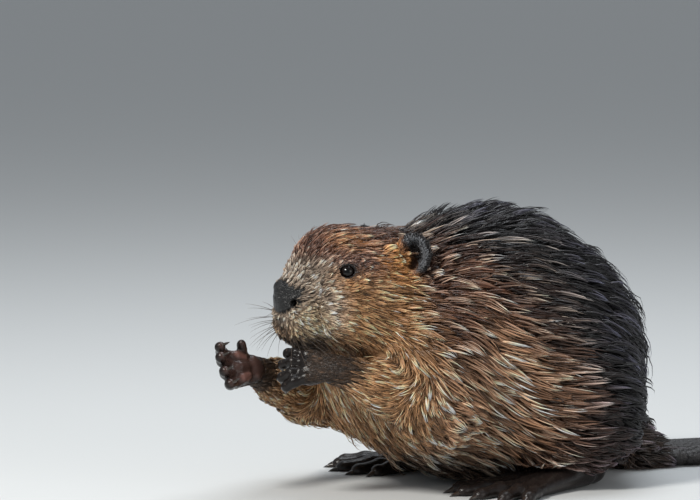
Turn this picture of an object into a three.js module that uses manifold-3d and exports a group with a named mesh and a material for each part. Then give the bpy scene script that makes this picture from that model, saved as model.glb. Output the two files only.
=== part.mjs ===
// A beaver, life size, as a still museum model: a hunched animal sitting on its hind feet, with its
// tail flat behind it and both hands held out under the chin.
// Millimetres. x runs to the animal's left, y towards its tail and z up from the floor it sits on.
// The body is modelled whole, as blended round forms, and then parted into its pieces by thin cuts.
import * as THREE from "three";
import { mergeVertices } from "three/addons/utils/BufferGeometryUtils.js";
import Module from "manifold-3d";

// ---- Driving dimensions ---------------------------------------------------------------------
const BACK_HEIGHT = 238; // the highest point of the arched back
const EAR_HEIGHT = 199; // the middle of the ears
const EAR_FORWARD = 98; // how far the ears lie ahead of the origin
const EAR_APART = 90;
const NOSE_REACH = 100; // from the line between the ears to the tip of the nose
const HEAD_TURN = 5; // degrees to the animal's right
const HEAD_PITCH = 0; // degrees nose down
const EYE_RADIUS = 7;
const FOOT_SPLAY = 12; // degrees outwards
const TAIL_LENGTH = 235; // the bare paddle
const TAIL_WIDTH = 122;
const TAIL_THICKNESS = 17;
const GAP = 0.4; // left between pieces that meet

// ---- Materials ------------------------------------------------------------------------------
const material = (color, roughness) => new THREE.MeshStandardMaterial({ color, roughness, metalness: 0 });
const FINISH = {
  backFur: material(0x2a1c13, 0.6),
  flankFur: material(0x5a3c24, 0.6),
  faceFur: material(0x7a5634, 0.6),
  muzzleFur: material(0x6a5a48, 0.6),
  bareSkin: material(0x1d1714, 0.45),
  scaleSkin: material(0x2b2725, 0.55),
  nosePad: material(0x15120f, 0.35),
  eye: material(0x0a0706, 0.1),
};

// ---- The form, as signed distances ----------------------------------------------------------
const { hypot, max, min, abs, sqrt, PI, cos, sin } = Math;
const radians = THREE.MathUtils.degToRad;

// An ellipsoid with half-axes radii at a point, turned by degrees about x, y and z.
function ball(at, radii, turn = [0, 0, 0]) {
  const turned = new THREE.Matrix4().makeRotationFromEuler(new THREE.Euler(...turn.map(radians)));
  const back = turned.invert().elements;
  const [a, b, c] = radii;
  return (x, y, z) => {
    const [dx, dy, dz] = [x - at[0], y - at[1], z - at[2]];
    const u = (back[0] * dx + back[4] * dy + back[8] * dz) / a;
    const v = (back[1] * dx + back[5] * dy + back[9] * dz) / b;
    const w = (back[2] * dx + back[6] * dy + back[10] * dz) / c;
    const inside = hypot(u, v, w);
    const slope = hypot(u / a, v / b, w / c);
    return slope < 1e-9 ? -min(a, b, c) : (inside * (inside - 1)) / slope;
  };
}

// A limb segment: a cone with round ends, from one point and radius to another.
function limb(from, fromRadius, to, toRadius) {
  const axis = [to[0] - from[0], to[1] - from[1], to[2] - from[2]];
  const length = hypot(...axis);
  const unit = axis.map((v) => v / length);
  return (x, y, z) => {
    const [dx, dy, dz] = [x - from[0], y - from[1], z - from[2]];
    const along = (dx * unit[0] + dy * unit[1] + dz * unit[2]) / length;
    const t = min(max(along, 0), 1);
    const off = hypot(dx - axis[0] * t, dy - axis[1] * t, dz - axis[2] * t);
    return off - (fromRadius + (toRadius - fromRadius) * t);
  };
}

const mirrored = ([x, y, z]) => [-x, y, z];
const bothBalls = (at, radii, turn = [0, 0, 0]) => [
  ball(at, radii, turn),
  ball(mirrored(at), radii, [turn[0], -turn[1], -turn[2]]),
];

// Joins two distances with a fillet of size k.
function blend(a, b, k) {
  const h = max(k - abs(a - b), 0) / k;
  return min(a, b) - h * h * k * 0.25;
}
const joined = (forms, k) => (x, y, z) => forms.reduce((d, form) => blend(d, form(x, y, z), k), 1e3);

// The head's own frame has its origin midway between the ears.
const headAngles = new THREE.Euler(radians(HEAD_PITCH), 0, radians(-HEAD_TURN));
const headFrame = new THREE.Matrix4()
  .makeTranslation(0, -EAR_FORWARD, EAR_HEIGHT)
  .multiply(new THREE.Matrix4().makeRotationFromEuler(headAngles));
const toHead = headFrame.clone().invert().elements;
const inHead = (form) => (x, y, z) =>
  form(
    toHead[0] * x + toHead[4] * y + toHead[8] * z + toHead[12],
    toHead[1] * x + toHead[5] * y + toHead[9] * z + toHead[13],
    toHead[2] * x + toHead[6] * y + toHead[10] * z + toHead[14],
  );

const headForm = joined(
  [
    ball([0, -22, -15], [50, 54, 37]), // cranium
    ball([0, -50, -10], [35, 33, 34]), // brow
    ...bothBalls([34, -40, -42], [29, 40, 40], [0, 0, 12]), // cheeks
    limb([0, -46, -36], 33, [0, -73, -43], 23), // muzzle
    limb([0, -60, -16], 20, [0, -84, -30], 12), // bridge of the nose
    ball([0, 16 - NOSE_REACH, -36], [18, 16, 18]), // nose
    ...bothBalls([12, 21 - NOSE_REACH, -57], [15, 18, 17]), // upper lips
    limb([0, -28, -60], 34, [0, -70, -68], 15), // lower jaw
  ],
  12,
);

const trunkForm = joined(
  [
    ball([0, -38, 108], [106, 104, 98]), // ribs
    ball([0, 22, 100], [124, 110, 100]), // belly
    ball([0, 6, BACK_HEIGHT - 80], [84, 90, 79]), // arched back
    ball([0, 62, 128], [84, 70, 74]), // loins
    ball([0, 72, 92], [98, 68, 92]), // rump
    ...bothBalls([62, -84, 100], [46, 50, 60]), // shoulders
    limb([0, -45, 148], 70, [0, -90, 156], 56), // neck
    limb([0, -60, 96], 60, [0, -112, 118], 40), // throat
  ],
  28,
);

const thighForm = joined(bothBalls([92, 34, 70], [42, 66, 62], [0, 0, -8]), 10);
const tailRootForm = limb([0, 92, 60], 52, [0, 164, 17], 21);

const furForm = (x, y, z) => {
  const headAndTrunk = blend(trunkForm(x, y, z), inHead(headForm)(x, y, z), 22);
  return blend(blend(headAndTrunk, thighForm(x, y, z), 20), tailRootForm(x, y, z), 26);
};

// ---- Distances to triangles -----------------------------------------------------------------
// A closed mesh of the surface where form is zero, inside a box, on a grid of cubes.
function surfaceOf(form, [low, high], cell) {
  const count = [0, 1, 2].map((i) => Math.ceil((high[i] - low[i]) / cell) + 3);
  const start = low.map((v) => v - cell);
  const index = (i, j, k) => i + count[0] * (j + count[1] * k);
  const value = new Float64Array(count[0] * count[1] * count[2]);
  const clipped = (x, y, z) =>
    max(form(x, y, z), low[0] - x, x - high[0], low[1] - y, y - high[1], low[2] - z, z - high[2]);
  for (let k = 0; k < count[2]; k++)
    for (let j = 0; j < count[1]; j++)
      for (let i = 0; i < count[0]; i++)
        value[index(i, j, k)] = clipped(...[i, j, k].map((n, m) => start[m] + n * cell)) || 1e-6;
  const points = [];
  const pointOf = new Map();
  const corner = (n) => [n & 1, (n >> 1) & 1, n >> 2];
  // One point in each cube that the surface crosses, at the mean of its edges' crossings.
  for (let k = 0; k < count[2] - 1; k++)
    for (let j = 0; j < count[1] - 1; j++)
      for (let i = 0; i < count[0] - 1; i++) {
        const at = [0, 0, 0];
        let crossings = 0;
        for (let n = 0; n < 8; n++)
          for (const bit of [1, 2, 4]) {
            if (n & bit) continue;
            const [p, q] = [corner(n), corner(n | bit)];
            const a = value[index(i + p[0], j + p[1], k + p[2])];
            const b = value[index(i + q[0], j + q[1], k + q[2])];
            if (a < 0 === b < 0) continue;
            const t = a / (a - b);
            for (let m = 0; m < 3; m++) at[m] += p[m] + (q[m] - p[m]) * t;
            crossings++;
          }
        if (!crossings) continue;
        pointOf.set(index(i, j, k), points.length / 3);
        points.push(...at.map((v, m) => start[m] + ([i, j, k][m] + v / crossings) * cell));
      }
  const faces = [];
  const step = [1, count[0], count[0] * count[1]];
  for (let k = 1; k < count[2] - 1; k++)
    for (let j = 1; j < count[1] - 1; j++)
      for (let i = 1; i < count[0] - 1; i++)
        for (let m = 0; m < 3; m++) {
          const here = index(i, j, k);
          const inside = value[here] < 0;
          if (inside === value[here + step[m]] < 0) continue;
          const [u, v] = [step[(m + 1) % 3], step[(m + 2) % 3]];
          const ring = [here, here - u, here - u - v, here - v].map((n) => pointOf.get(n));
          if (!inside) ring.reverse();
          const far = (a, b) => hypot(...[0, 1, 2].map((n) => points[3 * a + n] - points[3 * b + n]));
          const [a, b, c, d] = ring;
          faces.push(...(far(a, c) < far(b, d) ? [a, b, c, a, c, d] : [b, c, d, b, d, a]));
        }
  // Two steps along the slope bring the points onto the surface.
  const h = 0.5;
  for (let n = 0; n < points.length; n += 3)
    for (let round = 0; round < 2; round++) {
      const [x, y, z] = points.slice(n, n + 3);
      const slope = [
        (form(x + h, y, z) - form(x - h, y, z)) / (2 * h),
        (form(x, y + h, z) - form(x, y - h, z)) / (2 * h),
        (form(x, y, z + h) - form(x, y, z - h)) / (2 * h),
      ];
      const onFace = [0, 1, 2].some((m) => points[n + m] < low[m] + cell || points[n + m] > high[m] - cell);
      const push = max(min(form(x, y, z) / max(hypot(...slope), 0.2), cell / 2), -cell / 2);
      const steep = max(hypot(...slope), 1e-6);
      if (!onFace) for (let m = 0; m < 3; m++) points[n + m] -= (slope[m] / steep) * push;
    }
  return new THREE.BufferGeometry()
    .setAttribute("position", new THREE.Float32BufferAttribute(points, 3))
    .setIndex(faces);
}

// ---- Cutting and joining --------------------------------------------------------------------
const wasm = await Module();
wasm.setup();

function solid(geometry, matrix = new THREE.Matrix4()) {
  const bare = new THREE.BufferGeometry();
  bare.setAttribute("position", geometry.getAttribute("position").clone());
  bare.setIndex(geometry.index ? geometry.index.clone() : null);
  const merged = mergeVertices(bare.applyMatrix4(matrix), 1e-3);
  return new wasm.Manifold(
    new wasm.Mesh({
      numProp: 3,
      vertProperties: merged.attributes.position.array,
      triVerts: new Uint32Array(merged.index.array),
    }),
  );
}

function geometryOf(manifold) {
  const { vertProperties, triVerts } = manifold.getMesh();
  const geometry = new THREE.BufferGeometry();
  geometry.setAttribute("position", new THREE.BufferAttribute(vertProperties, 3));
  geometry.setIndex(new THREE.BufferAttribute(triVerts, 1));
  return geometry;
}

const boxOf = (low, high) => {
  const size = high.map((v, i) => v - low[i]);
  const middle = high.map((v, i) => (v + low[i]) / 2);
  return solid(new THREE.BoxGeometry(...size), new THREE.Matrix4().makeTranslation(...middle));
};
const eggOf = (at, radii, turn, matrix = new THREE.Matrix4(), around = 12) => {
  const place = new THREE.Matrix4().compose(
    new THREE.Vector3(...at),
    new THREE.Quaternion().setFromEuler(new THREE.Euler(...turn.map(radians))),
    new THREE.Vector3(...radii),
  );
  return solid(new THREE.SphereGeometry(1, around, around * 0.7), matrix.clone().multiply(place));
};
const underFloor = boxOf([-300, -400, -80], [300, 600, 0]);
const moved = (manifold, matrix) => manifold.transform(matrix.elements);
const union = (list) => list.reduce((a, b) => a.add(b));

// ---- Lofted pieces: digits, claws, feet and tail ----------------------------------------------
// A closed skin over rings of equally many points, with a flat cap at each end.
function loft(rings) {
  const sides = rings[0].length;
  const middle = (ring) => ring.reduce((sum, p) => sum.add(p), new THREE.Vector3()).divideScalar(sides);
  const points = [...rings.flat(), middle(rings[0]), middle(rings.at(-1))];
  const faces = [];
  for (let s = 0; s < sides; s++) {
    const next = (s + 1) % sides;
    for (let r = 0; r + 1 < rings.length; r++) {
      const [a, b, c, d] = [r * sides + s, r * sides + next, (r + 1) * sides + next, (r + 1) * sides + s];
      faces.push(a, b, c, a, c, d);
    }
    const last = (rings.length - 1) * sides;
    faces.push(points.length - 2, next, s, points.length - 1, last + s, last + next);
  }
  const geometry = new THREE.BufferGeometry().setFromPoints(points);
  geometry.setIndex(faces);
  const made = solid(geometry);
  if (made.volume() > 0) return made;
  geometry.setIndex(faces.reverse());
  return solid(geometry);
}

// A round tube through stations of [point, half-width, half-height]; up is the direction of its height.
function tube(stations, up, sides) {
  const points = stations.map(([p]) => new THREE.Vector3(...p));
  const rings = stations.map(([, wide, tall], i) => {
    const [next, last] = [points[Math.min(i + 1, points.length - 1)], points[Math.max(i - 1, 0)]];
    const ahead = next.clone().sub(last).normalize();
    const across = new THREE.Vector3().crossVectors(ahead, up).normalize();
    const over = new THREE.Vector3().crossVectors(across, ahead);
    return Array.from({ length: sides }, (_, s) => {
      const angle = (2 * PI * (s + 0.5)) / sides;
      return points[i]
        .clone()
        .addScaledVector(across, wide * cos(angle))
        .addScaledVector(over, tall * sin(angle));
    });
  });
  return loft(rings);
}

// A finger or toe with its claw. It starts at a point, leaves at a yaw from straight ahead (-y), and bends
// down by the same curl at each of its two joints and at the claw.
function digit(start, { yaw, pitch, curl, bones, radius, claw, grow = 0 }) {
  const stations = [[start, radius * 0.9, radius * 0.9]];
  let [at, down] = [start, pitch];
  const ahead = (length, angle) => [
    at[0] + length * cos(radians(angle)) * sin(radians(yaw)),
    at[1] - length * cos(radians(angle)) * cos(radians(yaw)),
    at[2] - length * sin(radians(angle)),
  ];
  bones.forEach((length, n) => {
    at = ahead(length, down);
    stations.push([at, radius * (1 - 0.1 * n), radius * (1 - 0.1 * n)]);
    down += curl;
  });
  at = ahead(radius * 0.7, down);
  stations.push([at, radius * 0.45, radius * 0.45]);
  const root = ahead(-radius * 1.1, down);
  const nail = [[root.with(2, root[2] + radius * 0.35), claw.wide, claw.tall]];
  at = root;
  for (const [share, thick] of [[0.6, 0.8], [1, 0.2]]) {
    const tip = ahead(claw.length * share, down + curl * 0.5 * share);
    nail.push([tip.with(2, tip[2] + radius * 0.35 * (1 - share)), claw.wide * thick, claw.tall * thick]);
  }
  const wider = (list) => list.map(([p, w, t]) => [p, w + grow, t + grow]);
  const up = new THREE.Vector3(0, 0, 1);
  return [tube(wider(stations), up, 5), tube(wider(nail), up, 3)];
}

// A hand in its own frame: the wrist at the origin, fingers towards -y and the palm facing down.
function hand(side, grow) {
  const g = grow;
  const palm = tube(
    [
      [[0, 12, 1], 9 + g, 8 + g],
      [[0, 0, 0], 11 + g, 8 + g],
      [[0, -12, -1], 15 + g, 9 + g],
      [[0, -24, -1], 16 + g, 8 + g],
      [[0, -30, -1], 13 + g, 5.5 + g],
    ],
    new THREE.Vector3(0, 0, 1),
    9,
  );
  const claw = { length: 12, wide: 1.7, tall: 2 };
  const fingers = [-11.5, -4, 4, 11].flatMap((x, n) =>
    digit([x, -25, -1], {
      yaw: x * 1.7,
      pitch: 8,
      curl: 33,
      bones: [[10, 9], [12, 10], [12, 10], [10, 8]][n],
      radius: 4.4,
      claw,
      grow: g,
    }),
  );
  const thumb = digit([-12 * side, -10, -4], {
    yaw: -38 * side,
    pitch: 30,
    curl: 12,
    bones: [7, 5],
    radius: 3.6,
    claw: { length: 7, wide: 1.5, tall: 1.6 },
    grow: g,
  });
  return union([palm, ...fingers, ...thumb]);
}

// A hind foot in its own frame: the heel at the origin, the sole on z = 0 and the toes towards -y.
function foot(side, grow) {
  const g = grow;
  const up = new THREE.Vector3(0, 0, 1);
  const sole = tube(
    [
      [[0, 10, 13], 10 + g, 10 + g],
      [[0, -20, 13], 17 + g, 15 + g],
      [[0, -52, 11], 22 + g, 13 + g],
      [[0, -78, 8], 29 + g, 10 + g],
      [[0, -92, 6], 27 + g, 7 + g],
    ],
    up,
    8,
  );
  const toes = [-22, -12, 0, 12, 22].flatMap((x, n) =>
    digit([x, -80, 6.5], {
      yaw: x * 1.15,
      pitch: 2,
      curl: 5,
      bones: [[22, 18], [26, 22], [28, 24], [27, 22], [22, 18]][n],
      radius: 6.6 - 0.3 * abs(n - 2),
      claw: { length: 17, wide: 3, tall: 2.3 },
      grow: g,
    }),
  );
  const web = new THREE.Shape();
  web.moveTo(-24, -70);
  [-43, -22, 0, 22, 43].forEach((x, n) => {
    const reach = [-112, -126, -131, -126, -112][n];
    if (n) web.quadraticCurveTo(x - 10, reach + 12, x, reach);
    else web.lineTo(x, reach);
  });
  web.lineTo(24, -70);
  const sheet = new THREE.ExtrudeGeometry(web, { depth: 3 + 2 * g, bevelEnabled: false, curveSegments: 2 });
  const webbing = solid(sheet, new THREE.Matrix4().makeTranslation(0, 0, 1.5 - g));
  return union([sole, ...toes, webbing]);
}

// The bare paddle of the tail, lying on the floor from its root at y = 0.
function paddle(grow) {
  const rings = [];
  const [steps, sides] = [11, 14];
  for (let n = 0; n <= steps; n++) {
    const t = n / steps;
    const rounding = t > 0.6 ? sqrt(max(1 - ((t - 0.6) / 0.4) ** 2.2, 0.012)) : 1;
    const opening = 0.46 + 0.54 * THREE.MathUtils.smoothstep(t, -0.1, 0.5);
    const wide = (TAIL_WIDTH / 2) * opening * rounding + grow;
    const tall = (TAIL_THICKNESS / 2) * (1.5 - 1.05 * t ** 0.6) * (0.35 + 0.65 * rounding) + grow;
    rings.push(
      Array.from({ length: sides }, (_, s) => {
        const angle = (2 * PI * s) / sides;
        const across = Math.sign(cos(angle)) * abs(cos(angle)) ** 0.8;
        return new THREE.Vector3(wide * across, t * TAIL_LENGTH, tall * (0.8 + sin(angle)));
      }),
    );
  }
  return loft(rings);
}

// ---- Placing the limbs ------------------------------------------------------------------------
// A frame at a point whose -y runs forward and whose -z faces the palm.
function aimed(at, forward, palm) {
  const y = new THREE.Vector3(...forward).normalize().negate();
  const z = new THREE.Vector3(...palm).negate();
  z.addScaledVector(y, -z.dot(y)).normalize();
  const x = new THREE.Vector3().crossVectors(y, z);
  return new THREE.Matrix4().makeBasis(x, y, z).setPosition(...at);
}

const ARMS = {
  left: { elbow: [80, -98, 70], wrist: [42, -172, 108] },
  right: { elbow: [-78, -118, 68], wrist: [-36, -204, 102] },
};
const handFrames = {
  left: aimed(ARMS.left.wrist, [-0.5, -0.8, 0.08], [-0.75, 0.1, -0.55]),
  right: aimed(ARMS.right.wrist, [0.2, -0.9, 0.1], [0.85, 0.1, 0.45]),
};
const footFrame = (side) =>
  new THREE.Matrix4()
    .makeTranslation(76 * side, 58, 0)
    .multiply(new THREE.Matrix4().makeRotationZ(radians(FOOT_SPLAY * side)));
const tailFrame = new THREE.Matrix4().makeTranslation(0, 168, 0);

// A forearm in its fur, from inside the elbow to the wrist.
function forearm({ elbow, wrist }, grow) {
  const along = (share) => elbow.map((v, i) => v + (wrist[i] - v) * share);
  const stations = [
    [-0.2, 15],
    [-0.08, 24],
    [0.15, 27],
    [0.5, 23],
    [0.85, 16],
    [1, 13.5],
  ].map(([share, radius]) => [along(share), radius + grow, radius + grow]);
  return tube(stations, new THREE.Vector3(0, 0, 1), 10);
}

// ---- Eyes and ears ----------------------------------------------------------------------------
// How far out from the middle the head's surface lies, in the head's own frame.
function headHalfWidth(y, z) {
  let [low, high] = [0, 90];
  for (let n = 0; n < 30; n++) {
    const middle = (low + high) / 2;
    if (headForm(middle, y, z) < 0) low = middle;
    else high = middle;
  }
  return low;
}
const EYE = { forward: 58, height: -12, sunk: 6.0 };
const eyeAt = (side) => {
  const out = headHalfWidth(-EYE.forward, EYE.height) - EYE.sunk;
  return [side * out, -EYE.forward, EYE.height];
};
const eye = (side, grow) => eggOf(eyeAt(side), Array(3).fill(EYE_RADIUS + grow), [0, 0, 90], headFrame);

const EAR = { long: 18, wide: 15, deep: 14, wall: 4, facing: 38, lean: 12 };
function ear(side, grow, filled) {
  const profile = [];
  const steps = 4;
  for (let n = 0; n <= steps; n++) {
    const angle = (PI / 2) * (n / steps);
    const [across, down] = [1 + grow / EAR.long, 1 + grow / EAR.deep];
    profile.push(new THREE.Vector2(across * sin(angle), -down * cos(angle)));
  }
  if (filled) profile.push(new THREE.Vector2(1 + grow / EAR.long, 0.15), new THREE.Vector2(0, 0.15));
  else profile.push(new THREE.Vector2(0.93, 0.12));
  if (!filled)
    for (let n = steps; n >= 0; n--) {
      const angle = (PI / 2) * (n / steps);
      profile.push(new THREE.Vector2(0.78 * sin(angle), -0.72 * cos(angle)));
    }
  profile[0].x = 0;
  profile.at(-1).x = 0;
  const bowl = new THREE.LatheGeometry(profile, 12);
  const place = new THREE.Matrix4()
    .makeTranslation(side * (EAR_APART / 2 + 1), 2, 0)
    .multiply(new THREE.Matrix4().makeRotationZ(side * radians(-90 - EAR.facing)))
    .multiply(new THREE.Matrix4().makeRotationX(radians(EAR.lean)))
    .multiply(new THREE.Matrix4().makeScale(EAR.wide, EAR.deep, EAR.long));
  return solid(bowl, headFrame.clone().multiply(place));
}

// ---- Assembling the nodes -----------------------------------------------------------------------
const beaver = new THREE.Group();
function add(name, manifold, finish) {
  const mesh = new THREE.Mesh(geometryOf(manifold), finish);
  mesh.name = name;
  beaver.add(mesh);
}

const taken = []; // what later pieces leave room for
function take(name, make, finish) {
  add(name, make(0), finish);
  taken.push(make(GAP));
}

// A piece of the furred body: its form inside a cutter, less what is taken already.
function carve(name, [low, high], cell, cutter, finish) {
  const block = solid(surfaceOf(furForm, [low, high], cell)).subtract(underFloor);
  const left = block.intersect(cutter(0)).subtract(union(taken));
  const pieces = left.decompose().sort((a, b) => b.volume() - a.volume());
  if (pieces.length > 1 && pieces[1].volume() > 60) throw new Error(name + " comes apart");
  add(name, pieces[0], finish);
  taken.push(cutter(GAP));
}

const sides = [
  ["left", 1],
  ["right", -1],
];
for (const [name, side] of sides) {
  take("eye_" + name, (grow) => eye(side, grow), FINISH.eye);
  add("ear_" + name, ear(side, 0), FINISH.backFur);
  taken.push(ear(side, GAP, true));
  const roomForHand = moved(hand(side, GAP), handFrames[name]);
  add("hand_" + name, moved(hand(side, 0), handFrames[name]), FINISH.bareSkin);
  add("forearm_" + name, forearm(ARMS[name], 0).subtract(roomForHand), FINISH.flankFur);
  taken.push(roomForHand, forearm(ARMS[name], GAP));
  const placedFoot = (grow) => moved(foot(side, grow), footFrame(side)).subtract(underFloor);
  take("hind_foot_" + name, placedFoot, FINISH.bareSkin);
}
take("tail_paddle", (grow) => moved(paddle(grow), tailFrame).subtract(underFloor), FINISH.scaleSkin);

// The head and the neck are parted by slanting planes, behind the ears and the corners of the jaw.
const napeFrame = new THREE.Matrix4()
  .makeTranslation(0, -46, 236)
  .multiply(new THREE.Matrix4().makeRotationX(radians(-34)));
const slab = (front, back) => moved(boxOf([-160, front, -300], [160, back, 100]), napeFrame);
const inHeadFrame = (manifold) => moved(manifold, headFrame);

carve(
  "nose",
  [[-24, -222, 142], [44, -180, 186]],
  7,
  (grow) => eggOf([0, -NOSE_REACH + 4, -35], [19, 13, 15].map((r) => r + grow), [90, 0, 0], headFrame),
  FINISH.nosePad,
);
carve(
  "lower_jaw",
  [[-50, -210, 96], [60, -120, 150]],
  9,
  (grow) => inHeadFrame(boxOf([-32 - grow, -130, -110], [32 + grow, -46 + grow, -69 + grow])),
  FINISH.muzzleFur,
);
carve("head", [[-100, -222, 60], [100, -40, 245]], 15, (grow) => slab(-300, grow), FINISH.faceFur);
carve("neck", [[-150, -180, -6], [150, 30, 250]], 25, (grow) => slab(-1, 36 + grow), FINISH.faceFur);
for (const [name, side] of sides) {
  const beside = (near, far, [low, high]) => [
    [side > 0 ? near : -far, low[0], low[1]],
    [side > 0 ? far : -near, high[0], high[1]],
  ];
  const egg = (at, radii) => (grow) => {
    const grown = radii.map((r) => r + grow);
    return eggOf([side * at[0], at[1], at[2]], grown, [0, 0, -8 * side]);
  };
  const armBox = beside(20, 150, [[-150, 20], [-10, 180]]);
  carve("upper_arm_" + name, armBox, 22, egg([88, -84, 98], [34, 46, 56]), FINISH.flankFur);
  const legBox = beside(30, 160, [[-60, -6], [130, 170]]);
  carve("hind_leg_" + name, legBox, 26, egg([104, 34, 62], [46, 70, 70]), FINISH.backFur);
}
const behind = (grow) => boxOf([-90, 134 - grow, -10], [90, 260, 92 + grow]);
carve("tail_root", [[-90, 60, -6], [90, 200, 180]], 15, behind, FINISH.backFur);
const everything = () => boxOf([-300, -300, -50], [300, 300, 300]);
carve("trunk", [[-150, -200, -6], [150, 190, 250]], 30, everything, FINISH.backFur);

// The origin is put under the middle of the whole, on the floor.
const middle = new THREE.Box3().setFromObject(beaver).getCenter(new THREE.Vector3());
beaver.position.set(-middle.x, -middle.y, 0);

export default beaver;
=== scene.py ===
"""A beaver, life size, as a still museum model.

It sits hunched on its hind feet, with both hands under its chin and its flat tail behind it. The body's
form is written as signed distances in millimetres, in the body's own frame: x to the animal's left, y
towards the tail and z up from the floor. The skin is meshed from it inside the part's solids, the coat is
combed over the skin as solid locks, and the eyes, claws, whiskers and tail scales are set on it.
"""

import math

import bmesh
import bpy
import numpy as np
from mathutils import Matrix, Vector


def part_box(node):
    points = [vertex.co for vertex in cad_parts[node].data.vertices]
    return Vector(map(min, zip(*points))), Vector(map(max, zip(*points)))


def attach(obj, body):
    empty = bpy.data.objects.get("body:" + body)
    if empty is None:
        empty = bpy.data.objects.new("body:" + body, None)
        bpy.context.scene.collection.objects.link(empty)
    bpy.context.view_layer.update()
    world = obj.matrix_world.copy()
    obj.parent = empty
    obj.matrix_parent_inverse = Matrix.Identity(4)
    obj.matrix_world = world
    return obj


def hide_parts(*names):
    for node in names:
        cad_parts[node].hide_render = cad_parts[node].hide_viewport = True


bl_info = {
    "name": "Beaver model",
    "version": (1, 0, 0),
    "blender": (4, 5, 0),
    "location": "3D View > Sidebar > Beaver",
    "description": "Dresses the beaver's solids with skin, coat, eyes, claws and scales",
    "category": "Object",
}

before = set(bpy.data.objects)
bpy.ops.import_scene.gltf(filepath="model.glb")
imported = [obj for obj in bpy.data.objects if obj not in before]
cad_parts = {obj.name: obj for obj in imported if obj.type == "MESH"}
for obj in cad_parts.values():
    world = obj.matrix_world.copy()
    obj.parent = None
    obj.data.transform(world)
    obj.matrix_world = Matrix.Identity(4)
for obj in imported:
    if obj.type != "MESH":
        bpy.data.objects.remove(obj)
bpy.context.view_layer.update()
SIDES = {"left": 1, "right": -1}

# The body's frame lies on the part's frame by a shift that two of the part's nodes give.
TAIL_START = 168.0
_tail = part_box("tail_paddle")
_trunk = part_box("trunk")
SHIFT = np.array([500.0 * (_trunk[0][0] + _trunk[1][0]), 1000.0 * _tail[0][1] - TAIL_START, 0.0])


def axes_of(points):
    """The x, y and z of a list of points, each as one array."""
    return tuple(np.asarray(points, dtype=float).T)


def to_row(points):
    """Points of the body's frame in millimetres, as points of the part's frame in metres."""
    return (np.asarray(points, dtype=float) + SHIFT) / 1000.0


def new_object(name, data):
    """An object of the given data, placed in the scene."""
    obj = bpy.data.objects.new(name, data)
    bpy.context.scene.collection.objects.link(obj)
    return obj


# ---- Signed distances ----------------------------------------------------------------------------
def smooth(low, high, v):
    """Rises from 0 at low to 1 at high, or falls where low is the greater."""
    t = np.clip((v - low) / (high - low), 0.0, 1.0)
    return t * t * (3.0 - 2.0 * t)


def how_far(p, at):
    """The distance of points from one place."""
    return np.sqrt(sum((p[i] - at[i]) ** 2 for i in range(3)))


def ball(p, at, radii, turn=0.0):
    """An ellipsoid, turned by degrees about z."""
    dx, dy, dz = (p[i] - at[i] for i in range(3))
    if turn:
        c, s = math.cos(math.radians(turn)), math.sin(math.radians(turn))
        dx, dy = c * dx + s * dy, c * dy - s * dx
    a, b, c = radii
    u, v, w = (dx / a) ** 2, (dy / b) ** 2, (dz / c) ** 2
    inside = np.sqrt(u + v + w)
    slope = np.sqrt(u / a**2 + v / b**2 + w / c**2)
    return inside * (inside - 1.0) / np.maximum(slope, 1e-6)


def limb(p, start, start_radius, end, end_radius):
    """A cone with round ends."""
    axis = [end[i] - start[i] for i in range(3)]
    length = sum(v * v for v in axis)
    d = [p[i] - start[i] for i in range(3)]
    t = np.clip((d[0] * axis[0] + d[1] * axis[1] + d[2] * axis[2]) / length, 0.0, 1.0)
    off = [d[i] - axis[i] * t for i in range(3)]
    return np.sqrt(off[0] ** 2 + off[1] ** 2 + off[2] ** 2) - (start_radius + (end_radius - start_radius) * t)


def blend(a, b, k):
    """Joins two forms with a fillet of about k."""
    h = np.maximum(k - np.abs(a - b), 0.0) / k
    return np.minimum(a, b) - h * h * k * 0.25


def carve(a, b, k):
    """Takes b out of a, with a rounded edge."""
    return -blend(-a, b, k)


def joined(forms, k):
    result = forms[0]
    for form in forms[1:]:
        result = blend(result, form, k)
    return result


def both(make, at, *rest, turn=0.0):
    """A form and its twin on the other side."""
    return [make(at, *rest, turn), make((-at[0], at[1], at[2]), *rest, -turn)]


HEAD_AT = (0.0, -98.0, 199.0)
HEAD_TURN = 5.0
NOSE_REACH = 100.0
# Heights of the back and of the highest tips of the coat.
BACK_HEIGHT = 238.0
TIP_HEIGHT = 240.0
HEAD_COS, HEAD_SIN = math.cos(math.radians(HEAD_TURN)), math.sin(math.radians(HEAD_TURN))


def to_head(p):
    """Into the head's own frame, whose origin is midway between the ears."""
    dx, dy, dz = (p[i] - HEAD_AT[i] for i in range(3))
    return HEAD_COS * dx - HEAD_SIN * dy, HEAD_COS * dy + HEAD_SIN * dx, dz


def mirrored(q):
    return np.abs(q[0]), q[1], q[2]


def way_from_head(x, y, z):
    """A direction of the head's frame in the body's frame."""
    return HEAD_COS * x + HEAD_SIN * y, HEAD_COS * y - HEAD_SIN * x, z


def from_head(at):
    return np.array([v + shift for v, shift in zip(way_from_head(*at), HEAD_AT)])


def head_form(q):
    """The outside of the coat on the head, in the head's frame."""

    def part(at, radii, turn):
        return ball(q, at, radii, turn)

    skull = joined(
        [
            ball(q, (0, -22, -15), (50, 54, 37)),
            ball(q, (0, -50, -10), (35, 33, 34)),
            *both(part, (34, -40, -42), (29, 40, 40), turn=12),
            limb(q, (0, -46, -36), 33, (0, -73, -43), 23),
            limb(q, (0, -28, -60), 34, (0, -70, -68), 15),
        ],
        19,
    )
    snout = [
        limb(q, (0, -60, -16), 20, (0, -84, -30), 12),
        ball(q, (0, 16 - NOSE_REACH, -36), (18, 16, 18)),
        *both(part, (12, 21 - NOSE_REACH, -57), (15, 17, 17)),
    ]
    return joined([skull, *snout], 11)


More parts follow.
